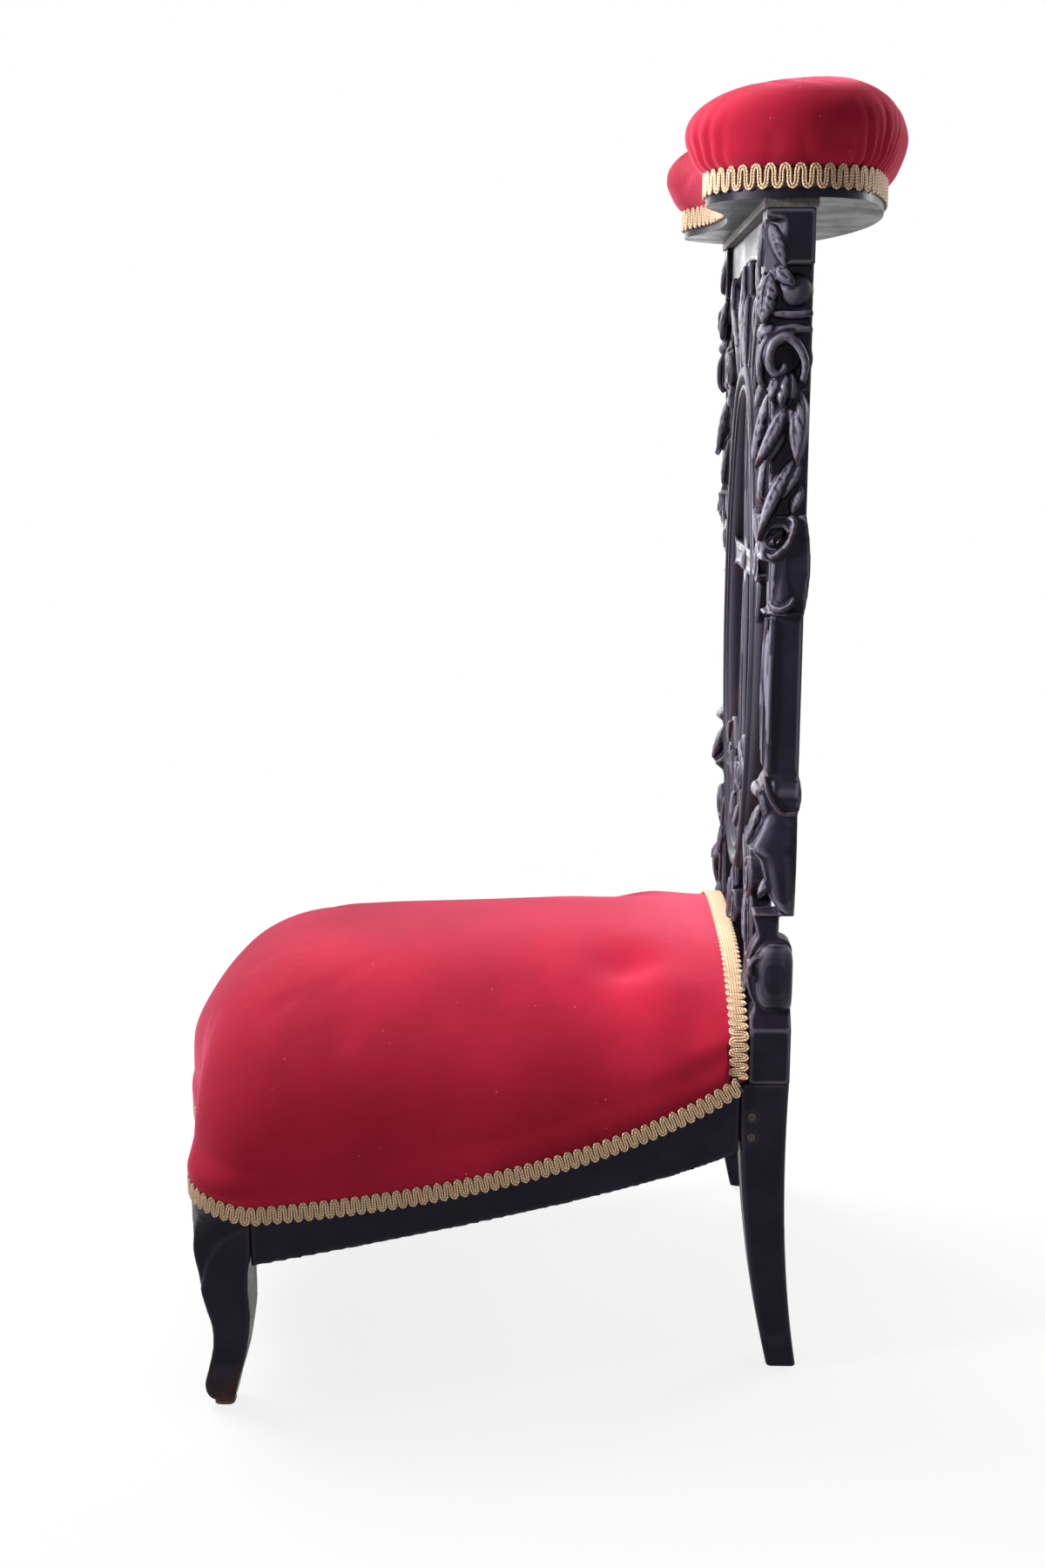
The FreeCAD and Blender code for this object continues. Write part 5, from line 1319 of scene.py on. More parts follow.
@dataclass
class SeatPlan:
    """Plan of the seat and the line of its gimp, millimetres."""

    rear_half: float = 178.0
    front_half: float = 232.0
    corner_y: float = -187.0
    corner_run: tuple[float, float] = (42.0, 50.0)
    bulge: float = 0.2
    bow: float = 31.0
    front_flat: float = 0.74
    front_turn: float = 0.4
    rear_y: float = 172.7
    gimp_poles: Table = ((-187.0, 138.0), (43.0, 145.0), (167.0, 221.0))
    gimp_width: float = 15.0
    corner_climb: float = 9.0
    side_steps: int = 60

    def half(self) -> Array:
        """Right half of the outline in x and y from the rear corner to the middle of the front.

        Straight side, corner arc, short straight, hollow arc and full arc to the middle.
        """
        reach = self.front_half - self.corner_run[0]
        back = np.array([self.rear_half, self.rear_y])
        edge = np.array([self.front_half, self.corner_y])
        ahead = np.array([reach, self.corner_y - self.corner_run[1]])
        chord = ahead - edge
        swell = (edge + ahead) / 2 + np.array([-chord[1], chord[0]]) * self.bulge
        nose = np.array([0.0, ahead[1] - self.bow])
        start = ahead * np.array([self.front_flat, 1.0])
        turn = start + (nose - start) * self.front_turn
        return np.concatenate([
            np.linspace(back, edge, self.side_steps, endpoint=False),
            arc_points(edge, swell, ahead, 16),
            np.linspace(ahead, start, 8, endpoint=False),
            leaving_arc(start, turn, 14),
            arc_points(turn, nose, turn * MIRROR[:2], 48)[:24],
            nose[None],
        ])

    def outline(self) -> Array:
        """Closed outline in x and y: right half forwards, left half back, straight rear."""
        sides = there_and_back(self.half())
        return np.concatenate([sides, np.linspace(sides[-1], sides[0], 48, endpoint=False)[1:]])

    def outward(self, line: Array) -> Array:
        """Outward directions of a closed outline, square to the chord of each point's neighbours."""
        along = np.roll(line, -1, 0) - np.roll(line, 1, 0)
        return unit(beside(along))

    def side_at(self, y: Array) -> Array:
        """Half width between the straight sides at each y."""
        share = (self.rear_y - y) / (self.rear_y - self.corner_y)
        return self.rear_half + share * (self.front_half - self.rear_half)

    def front_at(self, x: Array) -> Array:
        """The front edge's y at each x, corner arcs included."""
        edge = self.half()[self.side_steps:][::-1]
        return np.interp(np.abs(x), edge[:, 0], edge[:, 1])

    def gimp_line(self, y: Array) -> Array:
        """Height of the gimp's lower edge at each y: a three-pole curve that climbs at the front corner."""
        climb = self.corner_climb * np.clip((self.corner_y - y) / self.corner_run[1], 0, 1)
        return np.interp(y, *three_poles(self.gimp_poles)) + climb


@dataclass
class KidneyPlan:
    """Kidney outline of the armrest: four arcs that run into each other, millimetres."""

    half: float = 183.0
    end_radius: float = 58.0
    end_y: float = 191.0
    hollow_y: float = 157.0
    full_y: float = 270.0
    fine: int = 240

    def outline(self, count: int) -> tuple[Array, Array]:
        """Points in x and y and their outward directions, even from the middle of the hollow rightwards.

        Each end is an arc about its own centre; the hollow and the full side are arcs about centres on the
        axis, placed so that the arcs touch where the lines of centres cross them.
        """
        reach = self.half - self.end_radius
        ahead, behind = self.end_y - self.hollow_y, self.full_y - self.end_y
        front = (reach ** 2 + ahead ** 2 - self.end_radius ** 2) / (2 * (self.end_radius - ahead))
        rear = (reach ** 2 + behind ** 2 - self.end_radius ** 2) / (2 * (behind - self.end_radius))
        hollow_centre = np.array([0.0, self.hollow_y - front])
        full_centre = np.array([0.0, self.full_y - rear])
        end = np.array([reach, self.end_y])
        to_hollow, to_full = hollow_centre - end, end - full_centre
        low, high = np.arctan2(to_hollow[1], to_hollow[0]), np.arctan2(to_full[1], to_full[0])
        meet = np.arctan2(-to_hollow[1], -to_hollow[0])
        points, outward = joined([
            bow(hollow_centre, front, np.pi / 2, meet, self.fine, -1.0),
            bow(end, self.end_radius, low, high, self.fine),
            bow(full_centre, rear, high, np.pi - high, self.fine),
            bow(end * MIRROR[:2], self.end_radius, np.pi - high, np.pi - low, self.fine),
            bow(hollow_centre, front, np.pi - meet, np.pi / 2, self.fine, -1.0),
        ])
        points, outward = (np.concatenate([rows, rows[:1]]) for rows in (points, outward))
        length = lengths(points)
        even = np.linspace(0, length[-1], count, endpoint=False)
        return at_lengths(even, length, points), unit(at_lengths(even, length, outward))


# Gimp


@dataclass
class Lay:
    """A line on the chair that a braid is laid on, with its outward and upward directions, metres."""

    path: Array
    out: Array
    closed: bool = False
    length: Array = field(init=False)
    up: Array = field(init=False)

    def __post_init__(self) -> None:
        """Measures the line and sets the braid's height direction square to it and to the outward one."""
        if self.closed:
            self.path = np.concatenate([self.path, self.path[:1]])
            self.out = np.concatenate([self.out, self.out[:1]])
        self.length = lengths(self.path)
        along = np.gradient(self.path, axis=0)
        if self.closed:
            along[[0, -1]] = self.path[1] - self.path[-2]
        along = unit(along)
        self.out = unit(self.out - along * (self.out * along).sum(1, keepdims=True))
        self.up = np.cross(along, self.out)

    def at(self, s: Array, h: Array, lift: Array) -> Array:
        """Points at length s along the line, h up across the braid and lift off the face."""
        path, up, out = (at_lengths(s, self.length, rows) for rows in (self.path, self.up, self.out))
        return path + up * h[..., None] + out * lift[..., None]


@dataclass
class Gimp:
    """Serpentine gimp: a meander of two twisted cords side by side on a narrow tape, millimetres."""

    period: float = 7.5
    height: float = 15.0
    cord: float = 0.72
    apart: float = 0.86
    samples: int = 20
    sides: int = 6
    upright: float = 0.083
    lift: float = 1.9
    twist: tuple[float, float] = (0.33, 0.628)
    tape_share: float = 0.8

    def meander(self, total: float) -> Array:
        """Middle line of the serpentine in length and height.

        The height is a sine of the phase; the length is the phase's share of the period less a sine of
        twice the phase, which rounds the loops and stands their flanks upright.
        """
        turns = max(2, round(total / (self.period * MM)))
        phase = np.linspace(0, 2 * np.pi * turns, turns * self.samples + 1)
        reach = (self.height / 2 - self.cord - self.apart) * MM
        step = total / turns
        run = phase / (2 * np.pi) * step - self.upright * step * np.sin(2 * phase)
        return np.stack([run, reach * np.sin(phase)], 1)

    def cords(self, lay: Lay) -> list[Shell]:
        """Two cords beside the middle line, round profiles carried along it in the plane of the braid."""
        middle = self.meander(lay.length[-1])
        along = unit(np.gradient(middle, axis=0))
        across, run = beside(along), lengths(middle)
        angle = np.linspace(0, 2 * np.pi, self.sides, endpoint=False)
        thick = self.cord * MM
        shells = []
        for sign in (1.0, -1.0):
            line = middle + across * sign * self.apart * MM
            s = np.clip(line[:, :1] + across[:, :1] * thick * np.cos(angle), 0, lay.length[-1])
            h = line[:, 1:] + across[:, 1:] * thick * np.cos(angle)
            lift = np.broadcast_to(self.lift * MM + thick * np.sin(angle), s.shape)
            flat = np.stack(np.broadcast_arrays(run[:, None] / MM * self.twist[0],
                                                angle / (2 * np.pi) * self.twist[1]), -1)
            shells.append(capped(lay.at(s, h, lift), flat))
        return shells

    def tape(self, lay: Lay) -> Shell:
        """Narrow woven tape behind the cords: a flat profile carried along the line."""
        s = np.linspace(0, lay.length[-1], max(8, int(lay.length[-1] / (4 * MM))))[:, None]
        half = self.height * self.tape_share / 2 * MM
        s, h, lift = np.broadcast_arrays(s, [-half, half, half, -half], np.array([0.1, 0.1, 0.75, 0.75]) * MM)
        return capped(lay.at(s, h, lift), np.stack([s / MM, np.full(s.shape, TAPE_MARK)], -1))

    def sew(self, name: str, lay: Lay, node: str) -> None:
        """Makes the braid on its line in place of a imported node."""
        hand_over(shaped(name, self.cords(lay) + [self.tape(lay)]), GimpCord(), node)


# Cushions


@dataclass
class Stuffing:
    """Swells a cushion by cloth simulation: pressure inside, held where it is nailed down."""

    pressure: float = 4.0
    frames: int = 20
    voxel: float = 5.0

    def fill(self, name: str, shells: Sequence[Shell], held: Callable[[Array], Array], cap: float, rounds: int
             ) -> Piece:
        """Remeshes a closed form, blows it up and smooths it.

        Args:
            name: Name of the piece.
            shells: Closed starting form, a little smaller than the cushion.
            held: Function from points to the share by which each is held.
            cap: Furthest that a point may move, millimetres.
            rounds: Rounds of smoothing afterwards.

        Returns:
            The cushion, subdivided once.
        """
        obj = shaped(name, shells)
        skinned(obj, self.voxel, 8)
        self.swell(obj, held, cap)
        obj.modifiers.new("even", "SMOOTH").iterations = rounds
        finer = obj.modifiers.new("finer", "SUBSURF")
        finer.levels = finer.render_levels = 1
        baked(obj)
        shade_smooth(obj.data)
        return obj

    def swell(self, obj: Piece, held: Callable[[Array], Array], cap: float) -> None:
        """Blows a closed form up and keeps its new points, each moved by cap millimetres at most."""
        before = point_rows(obj.data)
        weight = np.round(np.clip(held(before), 0, 1), 1)
        group = obj.vertex_groups.new(name="nailed")
        for level in np.unique(weight[weight > 0]):
            group.add(np.flatnonzero(weight == level).tolist(), float(level), "REPLACE")
        cloth = obj.modifiers.new("cloth", "CLOTH")
        settings = cloth.settings
        settings.use_pressure = True
        settings.uniform_pressure_force = self.pressure
        settings.vertex_group_mass = "nailed"
        settings.quality = 5
        settings.effector_weights.gravity = 0
        cloth.collision_settings.use_collision = False
        cloth.point_cache.frame_end = self.frames
        scene = bpy.context.scene
        for frame in range(1, self.frames + 1):
            scene.frame_set(frame)
        graph = bpy.context.evaluated_depsgraph_get()
        swollen = bpy.data.meshes.new_from_object(obj.evaluated_get(graph))
        move = point_rows(swollen) - before
        bpy.data.meshes.remove(swollen)
        obj.modifiers.clear()
        obj.vertex_groups.clear()
        scene.frame_set(1)
        far = np.linalg.norm(move, axis=1, keepdims=True)
        limit = cap * MM
        move *= np.tanh(far / limit) * limit / np.maximum(far, 1e-9)
        reshape(obj, before + move)
        LOG.info("%s swelled by %.1f mm at most", obj.name, np.linalg.norm(move, axis=1).max() / MM)


def drawn_out(points: Array, normals: Array, line: Array, outward: Array, over: Array, full: float) -> Array:
    """Foot of a cover drawn out to the outline that it is nailed to.

    The distance from the outline is a small gap at the edge and grows towards full by one minus a falling
    exponential of the height over the edge; the move fades out above the edge and leaves the underside
    alone.

    Args:
        points: Points of the cover, metres.
        normals: Outward directions at the points.
        line: Outline in x and y, millimetres.
        outward: Outward directions of the outline.
        over: Height of each point over the edge, millimetres.
        full: Distance that the cover bulges to, millimetres.

    Returns:
        The moved points, metres.
    """
    mm = points / MM
    close = nearest(mm[:, :2], line)
    out = outward[close]
    off = ((mm[:, :2] - line[close]) * out).sum(1)
    facing = np.clip((normals[:, :2] * out).sum(1) * 3, 0, 1)
    share = eased(1 - over / FOOT_FADE) * facing
    wanted = FOOT_GAP + full * (1 - np.exp(-np.clip(over + 2, 0, None) / FOOT_RUN))
    mm[:, :2] += out * ((wanted - off) * share)[:, None]
    return mm * MM


@dataclass
class Seat:
    """Low stuffed seat: velvet cushion, gimp round its foot and along its rear edge, millimetres."""

    plan: SeatPlan = field(default_factory=SeatPlan)
    top: float = 312.0
    front_roll: float = 118.0
    tilt: float = 3.4
    rear_braid_z: float = 264.0
    crown: float = 40.0
    tuck: float = 9.0
    bow: float = 81.0
    bow_half: float = 237.0
    bow_ahead: float = 6.0
    rear_from: float = 70.0
    rear_run: float = 87.0
    rear_gap: float = 0.3
    rear_cover: float = 15.5
    open_run: float = 110.0
    open_rise: float = 45.0
    end_gap: float = 0.4
    end_from: float = 22.0
    end_fade: float = 8.0
    end_open: float = 60.0
    nailed_foot: tuple[float, float] = (2.0, 16.0)
    nailed_rear: tuple[float, float] = (18.0, 30.0)
    foot_end: float = 166.7
    hollows: Table = (
        (103.0, 84.0, 17.0, 7.0), (140.0, 106.0, 23.0, -4.5), (186.0, 128.0, 14.0, 5.0))
    knelt: tuple[float, ...] = (0.0, -20.0, 110.0, 2.0)
    dent_from: float = 225.0
    dent_fade: float = 40.0
    turned_end: Table = (
        (178.3, 233.0), (178.3, 248.0), (178.1, 259.0), (176.6, 264.6))
    along_rear: tuple[float, ...] = (172.0, 165.0, 150.0, 130.0, 100.0, 60.0, 0.0)

    def over_gimp(self, mm: Array) -> Array:
        """Height of each point over the upper edge of the gimp."""
        return mm[:, 2] - self.plan.gimp_line(mm[:, 1]) - self.plan.gimp_width

    def arch(self, x: Array) -> Array:
        """Height of the crowned rear edge at each x: highest in the middle, falling with the cube of x."""
        return self.rear_braid_z + self.crown * (1 - np.clip(np.abs(x) / self.plan.rear_half, 0, 1) ** 3)

    def surface(self, x: Array, y: Array) -> Array:
        """Height of the velvet over its plan.

        A dome over the edge's height: a root of one minus a power of the share across, times the same of
        the run from an even bow along the front. Towards the rear it turns smoothly into the crowned rear
        edge.
        """
        edge = self.plan.gimp_line(y) + self.plan.gimp_width
        across = np.clip(np.abs(x) / self.plan.side_at(y), 0, 1)
        nose = self.bow * np.clip(1 - (np.abs(x) / self.bow_half) ** 2.6, 0, 1) ** 0.8
        ahead = np.clip((y - (self.plan.corner_y - self.bow_ahead - nose)) / self.front_roll, 0, 1)
        dome = np.sqrt(1 - across ** 2.9) * (1 - (1 - ahead) ** 2.4) ** 0.45
        top = self.top + (y - self.plan.rear_y) * np.tan(np.radians(self.tilt))
        rear = eased((y - self.rear_from) / self.rear_run)
        return (1 - rear) * (edge + (top - edge) * dome) + rear * self.arch(x)

    def form(self) -> list[Shell]:
        """Closed form: a grid over the plan, closer at its edges, a skirt behind the gimp and a bottom."""
        u = np.sin(np.linspace(-1, 1, 81) * np.pi / 2)
        front = np.full(u.shape, self.plan.corner_y)
        for _ in range(12):
            front = self.plan.front_at(u * self.plan.side_at(front))
        y = front + (self.plan.rear_y - self.rear_gap - front) * (np.linspace(0, 1, 80) ** 1.6)[:, None]
        x = u * self.plan.side_at(y)
        top = np.stack([x, y, self.surface(x, y)], -1)
        loop = np.concatenate([top[0], top[1:, -1], top[-1, -2::-1], top[-2:0:-1, 0]])
        low = loop.copy()
        low[:, 2] = self.plan.gimp_line(low[:, 1]) + self.plan.gimp_width - self.tuck
        skirt = np.stack([loop, (loop + low) / 2, low])
        floor = np.stack([low, np.broadcast_to(low.mean(0), low.shape)])
        return [grid(top * MM), grid(skirt * MM, wrap_v=True), grid(floor * MM, wrap_v=True)]

    def kept_in(self, points: Array) -> Array:
        """Points held in front of the stiles, under the crowned rear gimp and between its turned ends.

        Ahead of the gimp the limit of the height opens with the square of the distance, that of the width
        evenly.
        """
        points = points.copy()
        points[:, 1] = np.minimum(points[:, 1], self.plan.rear_y - self.rear_gap)
        ahead = np.clip((self.plan.rear_y - self.rear_cover - points[:, 1]) / self.open_run, 0, 1)
        points[:, 2] = np.minimum(points[:, 2], self.arch(points[:, 0]) + self.open_rise * ahead ** 2)
        margin = np.clip((points[:, 1] - (self.plan.rear_y - self.end_from)) / self.end_fade, 0, 1)
        reach = self.plan.rear_half - self.end_gap + (1 - margin) * self.end_open
        points[:, 0] = np.clip(points[:, 0], -reach, reach)
        return points

    def held(self, points: Array) -> Array:
        """Share by which a point is held: whole at the gimp, at the rear edge and underneath."""
        mm = points / MM
        foot = np.interp(self.over_gimp(mm), self.nailed_foot, (1.0, 0.0))
        return np.maximum(foot, np.interp(self.plan.rear_y - mm[:, 1], self.nailed_rear, (1.0, 0.0)))

    def dents(self, points: Array) -> Array:
        """Soft hollows where the cover is drawn down at the rear corners and where it has been knelt on."""
        mm = points / MM
        drop = np.zeros(len(mm))
        left = [(-x, *rest) for x, *rest in self.hollows]
        for x, y, wide, deep in (*self.hollows, *left, self.knelt):
            drop += deep * bell(np.hypot(mm[:, 0] - x, mm[:, 1] - y) / (np.sqrt(2) * wide))
        mm[:, 2] -= drop * np.clip((mm[:, 2] - self.dent_from) / self.dent_fade, 0, 1)
        return mm * MM

    def cushion(self) -> None:
        """Stuffs and shapes the velvet seat."""
        obj = Stuffing().fill("velvet_seat", self.form(), self.held, cap=7.0, rounds=10)
        points, line = point_rows(obj.data), self.plan.outline()
        points = drawn_out(points, point_rows(obj.data, "normal"), line, self.plan.outward(line),
                           self.over_gimp(points / MM), full=4.5)
        reshape(obj, self.kept_in(self.dents(points) / MM) * MM)
        hand_over(obj, Velvet(), "seat_cover", "seat_stuffing")

    def foot_line(self) -> Lay:
        """Line of the gimp round the foot of the seat, from one rear leg round the front to the other."""
        right = self.plan.half()
        share = (self.plan.rear_y - self.foot_end) / (right[0, 1] - right[1, 1])
        start = right[:1] + (right[1:2] - right[:1]) * share
        plan = there_and_back(np.concatenate([start, right[right[:, 1] < self.foot_end - 0.7]]))
        out = raised(beside(unit(np.gradient(plan, axis=0))), 0.0)
        return Lay(raised(plan, self.plan.gimp_line(plan[:, 1]) + self.plan.gimp_width / 2) * MM, out)

    def rear_line(self) -> Lay:
        """Line of the gimp along the crowned rear edge, turned down at both ends."""
        x = np.array(self.along_rear)
        line = np.concatenate([self.turned_end, np.stack([x, self.arch(x) + 0.4], 1)])
        middle_y = self.plan.rear_y - self.plan.gimp_width / 2
        whole = there_and_back(smooth_path(np.insert(line, 1, middle_y, axis=1), 160))
        return Lay(whole * MM, np.cross(np.array([0.0, 1.0, 0.0]), unit(np.gradient(whole, axis=0))))

    def build(self) -> None:
        """Makes the cushion and both braids."""
        self.cushion()
        Gimp().sew("seat_gimp", self.foot_line(), "seat_braid")
        Gimp().sew("rear_gimp", self.rear_line(), "seat_rear_braid")


@dataclass
class Armrest:
    """Kidney armrest: velvet pad gathered at the gimp round its board, millimetres."""

    plan: KidneyPlan = field(default_factory=KidneyPlan)
    gimp: Gimp = field(default_factory=lambda: Gimp(period=9.6, height=17.0, cord=0.80, apart=0.94))
    foot: float = 871.3
    board: float = 849.0
    gimp_lift: float = 5.0
    pad: float = 60.0
    overhang: float = 18.0
    waist: float = 28.0
    roll: float = 46.0
    lower: float = 36.0
    tuck: float = 6.0
    start_smaller: float = 2.0
    lean: float = 0.075
    middle_y: float = 215.0
    lower_angles: tuple[float, float] = (-37.0, 0.0)
    upper_angles: tuple[float, float] = (6.0, 88.0)
    nailed_foot: tuple[float, float] = (1.5, 10.5)
    behind_gimp: float = 0.8
    slant: float = 0.32
    end_fade: float = 25.0
    pleats: Table = (
        (36.0, 2.2, 2.0, 16.0), (45.0, 2.4, 3.2, 24.0), (53.0, 2.0, 2.6, 18.0), (61.0, 2.6, 3.8, 28.0),
        (70.0, 2.2, 3.0, 20.0), (79.0, 2.6, 3.4, 24.0), (88.0, 2.4, 2.4, 18.0), (99.0, 3.0, 2.4, 20.0),
        (-52.0, 3.4, 1.6, 22.0), (-63.0, 3.0, 2.2, 26.0), (-74.0, 3.2, 2.6, 26.0), (-85.0, 3.0, 2.0, 20.0),
        (4.0, 4.0, 0.8, 14.0), (-20.0, 5.0, 0.8, 16.0))

    def form(self) -> Shell:
        """Domed pad: each ring is the kidney grown or drawn in by the cosine of an angle, at the sine of it.

        The first ring is tucked down behind the gimp.
        """
        points, outward = self.plan.outline(360)
        less = self.start_smaller
        rings = [raised(points + outward * self.behind_gimp, self.foot - self.tuck)]
        angles = np.concatenate([np.linspace(*self.lower_angles, 8), np.linspace(*self.upper_angles, 16)])
        for a in np.radians(angles):
            grow = self.overhang - self.roll * (1 - np.cos(a)) - less
            rise = (self.pad - self.waist - less if a > 0 else self.lower) * np.sin(a)
            rings.append(raised(points + outward * grow, self.foot + self.waist + rise))
        return capped(np.array(rings) * MM)

    def held(self, points: Array) -> Array:
        """Share by which a point is held: whole at the foot of the pad."""
        return np.interp(points[:, 2] / MM - self.foot, self.nailed_foot, (1.0, 0.0))

    def gathers(self, points: Array) -> Array:
        """Pleats fanning up from the gimp round the two ends.

        Each pleat is a groove at an angle about the end's centre, a bell curve across, slanting as it
        climbs and dying out at its height; pleats give the angle, the width in degrees, the depth and the
        height.
        """
        mm = points / MM
        centre = self.plan.half - self.plan.end_radius
        across, behind = np.abs(mm[:, 0]) - centre, mm[:, 1] - self.plan.end_y
        angle = np.degrees(np.arctan2(behind, across))
        up = np.clip(mm[:, 2] - self.foot, 0, None)
        near_end = np.clip(across / self.end_fade + 1, 0, 1)
        deep = np.zeros(len(mm))
        for place, wide, depth, high in self.pleats:
            lean = place - self.slant * up * np.sign(place)
            deep += depth * bell((angle - lean) / wide) * bell(up / high)
        ray = unit(np.stack([across * np.sign(mm[:, 0]), behind], 1))
        mm[:, :2] -= ray * (deep * near_end)[:, None]
        return mm * MM

    def build(self) -> None:
        """Stuffs the pad, leans its top to the front, gathers it and lays the gimp round the board."""
        obj = Stuffing(voxel=3.2).fill("velvet_armrest", [self.form()], self.held, cap=6.0, rounds=5)
        points = point_rows(obj.data)
        line, outward = self.plan.outline(420)
        over = points[:, 2] / MM - self.foot
        points = drawn_out(points, point_rows(obj.data, "normal"), line, outward, over, full=15.0)
        rise = np.clip(points[:, 2] / MM - self.foot, 0, None) / self.pad
        points[:, 2] += self.lean * rise * (points[:, 1] - self.middle_y * MM)
        reshape(obj, self.gathers(points))
        hand_over(obj, Velvet(), "armrest_cover", "armrest_stuffing")
        gimp = self.gimp
        path = raised(line, self.board + self.gimp_lift + gimp.height / 2) * MM
        gimp.sew("armrest_gimp", Lay(path, raised(outward, 0.0), True), "armrest_braid")


@dataclass
class Underside:
    """Webbing straps and hessian under the seat, millimetres."""

    strap: float = 50.0
    thick: float = 1.4
    rib: float = 0.08
    weave: float = 0.25
    woven: tuple[float, float] = (-170.0, 130.0)
    short: float = 3.0
    cloth_lift: float = 0.6
    sag: float = 0.05
    sag_run: float = 420.0
    thread: float = 0.8
    lengthwise: Table = ((-92.0, -238.2), (0.0, -258.5), (92.0, -238.2))
    crosswise: tuple[float, ...] = (-132.0, -56.0, 20.0, 96.0)
    front_z: float = 103.0
    rear_z: float = 176.0
    deck_ends: tuple[float, float] = (-213.0, 173.0)
    rear_end: float = 191.0
    lower_poles: Table = ((-187.0, 106.0), (99.0, 145.0), (167.0, 175.0))
    frame_ends: tuple[float, float] = (-187.0, 167.0)
    frame_halves: tuple[float, float] = (232.0, 178.0)
    well: Table = (
        (-209.7, 158.7), (-187.0, 158.7), (-137.7, 199.5), (117.7, 160.5), (166.4, 104.7))

    def strip(self, path: Array, side: Array) -> Shell:
        """Strap with a flat profile carried along a path, its edges rounded and its face a little ribbed."""
        s = np.linspace(-1, 1, 13)
        height = self.thick / 2 * np.sqrt(np.clip(1 - s ** 8, 0, 1)) + self.rib * np.cos(6 * np.pi * s)
        along = unit(np.gradient(path, axis=0))
        normal = unit(np.cross(along, side))
        middle = path[:, None] + side * (s * self.strap / 2)[:, None]
        lift = normal[:, None] * height[:, None]
        return capped(np.concatenate([middle + lift, (middle - lift)[:, ::-1]], 1) * MM)

    def deck(self, y: Array) -> Array:
        """Height of the deck that the straps lie under, flat under both rails and straight between them."""
        return np.interp(y, self.deck_ends, [self.front_z, self.rear_z])

    def straps_long(self) -> list[Shell]:
        """Straps from the front rail to the rear rail, woven over and under the others by a small wave."""
        rows = []
        apart = self.crosswise[1] - self.crosswise[0]
        for k, (x, front) in enumerate(self.lengthwise):
            y = np.linspace(front, self.rear_end, 120)
            turn = np.pi * ((y - self.crosswise[0]) / apart + k)
            weave = self.weave * np.cos(turn) * (y > self.woven[0]) * (y < self.woven[1])
            path = np.column_stack([np.full(len(y), x), y, self.deck(y) - self.thick / 2 + weave])
            rows.append(self.strip(path, np.array([1.0, 0.0, 0.0])))
        return rows

    def straps_across(self) -> list[Shell]:
        """Straps under the lower edges of the side rails, each tilted like the edge."""
        along, height = three_poles(self.lower_poles)
        rows = []
        for y in self.crosswise:
            z, slope = np.interp(y, along, height), np.interp(y, along, np.gradient(height, along))
            reach = np.interp(y + self.strap / 2, self.frame_ends, self.frame_halves) - self.short
            x = np.linspace(-reach, reach, 100)
            down = np.array([0.0, slope, -1.0]) / np.hypot(1, slope)
            path = np.column_stack([x, np.full(len(x), y), np.full(len(x), z)]) + down * self.thick / 2
            rows.append(self.strip(path, unit(np.array([0.0, 1.0, slope]))))
        return rows

    def cloth(self) -> Shell:
        """Hessian between the rails: rows across the well at the deck's slope, sagging between the straps."""
        places, halves = np.transpose(self.well)
        y = np.linspace(places[0], places[-1], 95)[:, None]
        x = np.interp(y, places, halves) * np.linspace(-1, 1, 81)
        between = 1 + np.cos(2 * np.pi * x / self.lengthwise[-1][0])
        sag = self.sag * between * np.cos(np.pi * y / self.sag_run)
        z = self.deck(y) + self.cloth_lift + sag
        return grid(np.stack([x, np.broadcast_to(y, x.shape), z], -1) * MM)

    def build(self) -> None:
        """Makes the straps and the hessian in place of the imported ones."""
        hand_over(shaped("webbing_long", self.straps_long()), Webbing(), "webbing_lengthwise")
        hand_over(shaped("webbing_across", self.straps_across()), Webbing(), "webbing_crosswise")
        obj = shaped("hessian_sheet", [self.cloth()])
        solid = obj.modifiers.new("thread", "SOLIDIFY")
        solid.thickness = self.thread * MM
        solid.offset = 0.0
        hand_over(obj, WovenJute(), "seat_hessian")


# Stage


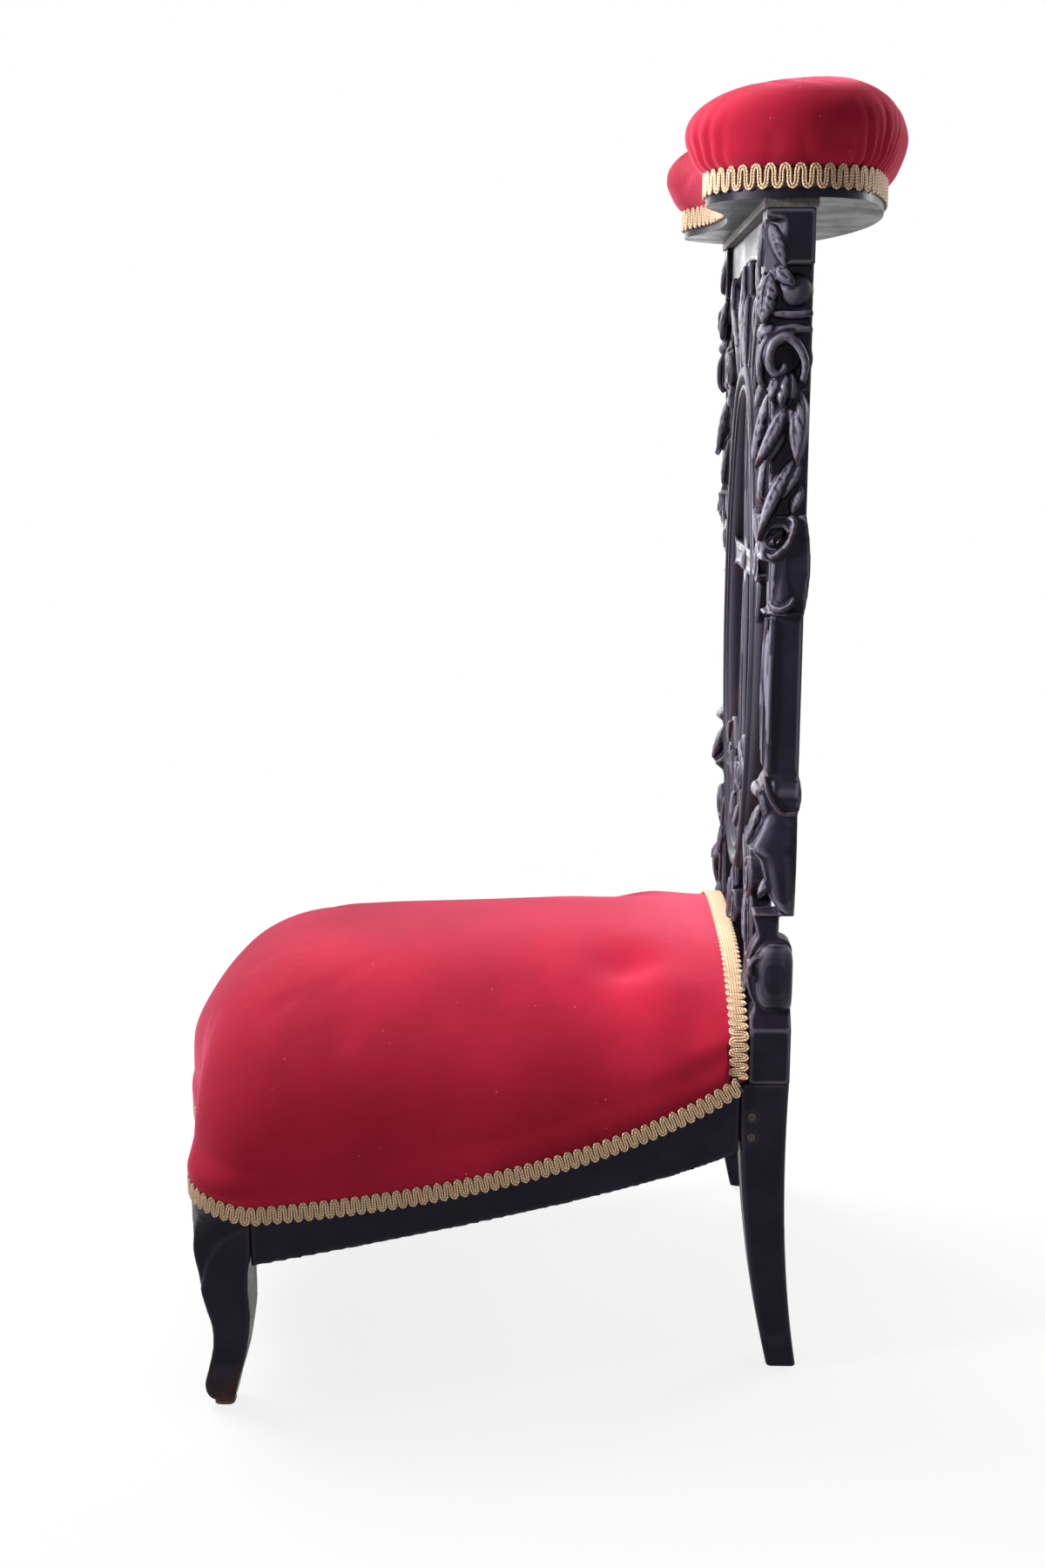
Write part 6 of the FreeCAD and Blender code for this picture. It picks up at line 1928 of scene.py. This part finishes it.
@dataclass
class Studio:
    """Pale floor, white surroundings, soft lamps and the camera."""

    eye: tuple[float, float, float] = (1.447, 0.043, 0.7145)
    forward: tuple[float, float, float] = (-0.9788, -0.0273, -0.2028)
    lens: float = 42.0
    film: float = 36.0
    ambient: float = 0.14
    white: Colour = paint(1.0, 1.0, 1.0)
    pale: Colour = paint(0.86, 0.86, 0.86)
    floor_half: float = 9.0

    def camera(self) -> None:
        """Camera of the photograph's angle and frame."""
        data = bpy.data.cameras.new("camera")
        data.sensor_fit = "VERTICAL"
        data.sensor_height = self.film
        data.lens = self.lens
        data.clip_start = 0.01
        obj = loose_object("camera", data)
        obj.location = self.eye
        obj.rotation_euler = Vector(self.forward).to_track_quat("-Z", "Y").to_euler()
        bpy.context.scene.camera = obj

    def world(self) -> None:
        """White to the camera and in reflections, a plain level of light otherwise."""
        g = Graph(bpy.data.worlds.new("studio"), "Background")
        level = g.ranged(g.seen(), 0.0, 1.0, self.ambient, 1.0)
        bpy.context.scene.world = g.done(Color=self.white, Strength=level)

    def floor(self) -> None:
        """Pale floor that shows white to the camera, keeps a light shadow and runs into the white far off."""
        far = self.floor_half
        corners = np.array([[[-far, -far, 0], [-far, far, 0]], [[far, -far, 0], [far, far, 0]]])
        obj = shaped("floor", [grid(corners)])
        g = Graph(bpy.data.materials.new("pale_floor"))
        g.done(Base_Color=self.pale, Roughness=0.9, Specular_IOR_Level=0.0)
        away = g.node("ShaderNodeVectorMath", {0: g.places()}, operation="LENGTH").outputs["Value"]
        seen = g.times(g.seen(), g.ranged(away, 0.5, 1.3, 0.84, 1.0))
        glow = g.node("ShaderNodeEmission", {"Color": self.white}).outputs[0]
        blend = g.node("ShaderNodeMixShader", {0: seen, 1: g.shader.outputs[0], 2: glow})
        g.feed(g.tree.nodes["Material Output"].inputs["Surface"], blend.outputs[0])
        obj.data.materials.append(g.owner)

    def lamp(self, name: str, place: Spot, aim: Spot, size: float, power: float,
             angle: float = 180.0) -> None:
        """Soft square lamp aimed at a point, its light kept within an angle."""
        data = bpy.data.lights.new(name, "AREA")
        data.size = size
        data.energy = power
        data.spread = np.radians(angle)
        obj = loose_object(name, data)
        obj.location = place
        obj.visible_camera = False
        obj.rotation_euler = (Vector(aim) - Vector(place)).to_track_quat("-Z", "Y").to_euler()

    def build(self) -> None:
        """Sets the whole stage."""
        bpy.context.scene.view_settings.view_transform = "Standard"
        self.camera()
        self.world()
        self.floor()
        self.lamp("key", (-1.0, -1.2, 1.9), (0.0, 0.0, 0.35), size=1.2, power=66.0)
        self.lamp("top", (0.0, 0.1, 2.3), (0.0, 0.0, 0.3), size=0.9, power=14.0)
        self.lamp("far", (-2.4, -0.4, 1.0), (0.0, 0.1, 0.5), size=1.5, power=26.0)
        self.lamp("side", (0.75, -1.9, 1.35), (0.17, 0.18, 0.56), size=0.4, power=4.0, angle=20.0)
        self.lamp("rim", (-0.9, 1.7, 1.3), (0.1, 0.2, 0.8), size=0.8, power=16.0)


def main() -> None:
    """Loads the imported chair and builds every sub-assembly round it."""
    logging.basicConfig(level=logging.INFO)
    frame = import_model()
    nodes = frame["nodes"]
    Studio().build()
    carver = Carver(nodes)
    SeatFrame(carver).build()
    Stiles(carver).build()
    OvalFrame().build()
    PiercedPanel(carver).build()
    Seat().build()
    Armrest().build()
    Underside().build()
    kept: dict[Finish, tuple[str, ...]] = {
        EbonisedWood(grain=Grain.ACROSS): ("armrest_board",),
        WornWood(): ("armrest_cleat",),
        StainedWood(): ("rail_pegs",),
        PlainWood(): ("stile_dowels", "armrest_dowels", "corner_block_front_right",
                      "corner_block_front_left", "corner_block_rear_right", "corner_block_rear_left"),
        TackIron(): ("webbing_tacks",),
    }
    for finish, names in kept.items():
        for name in names:
            dress(nodes[name], finish)


if __name__ == "__main__":
    main()
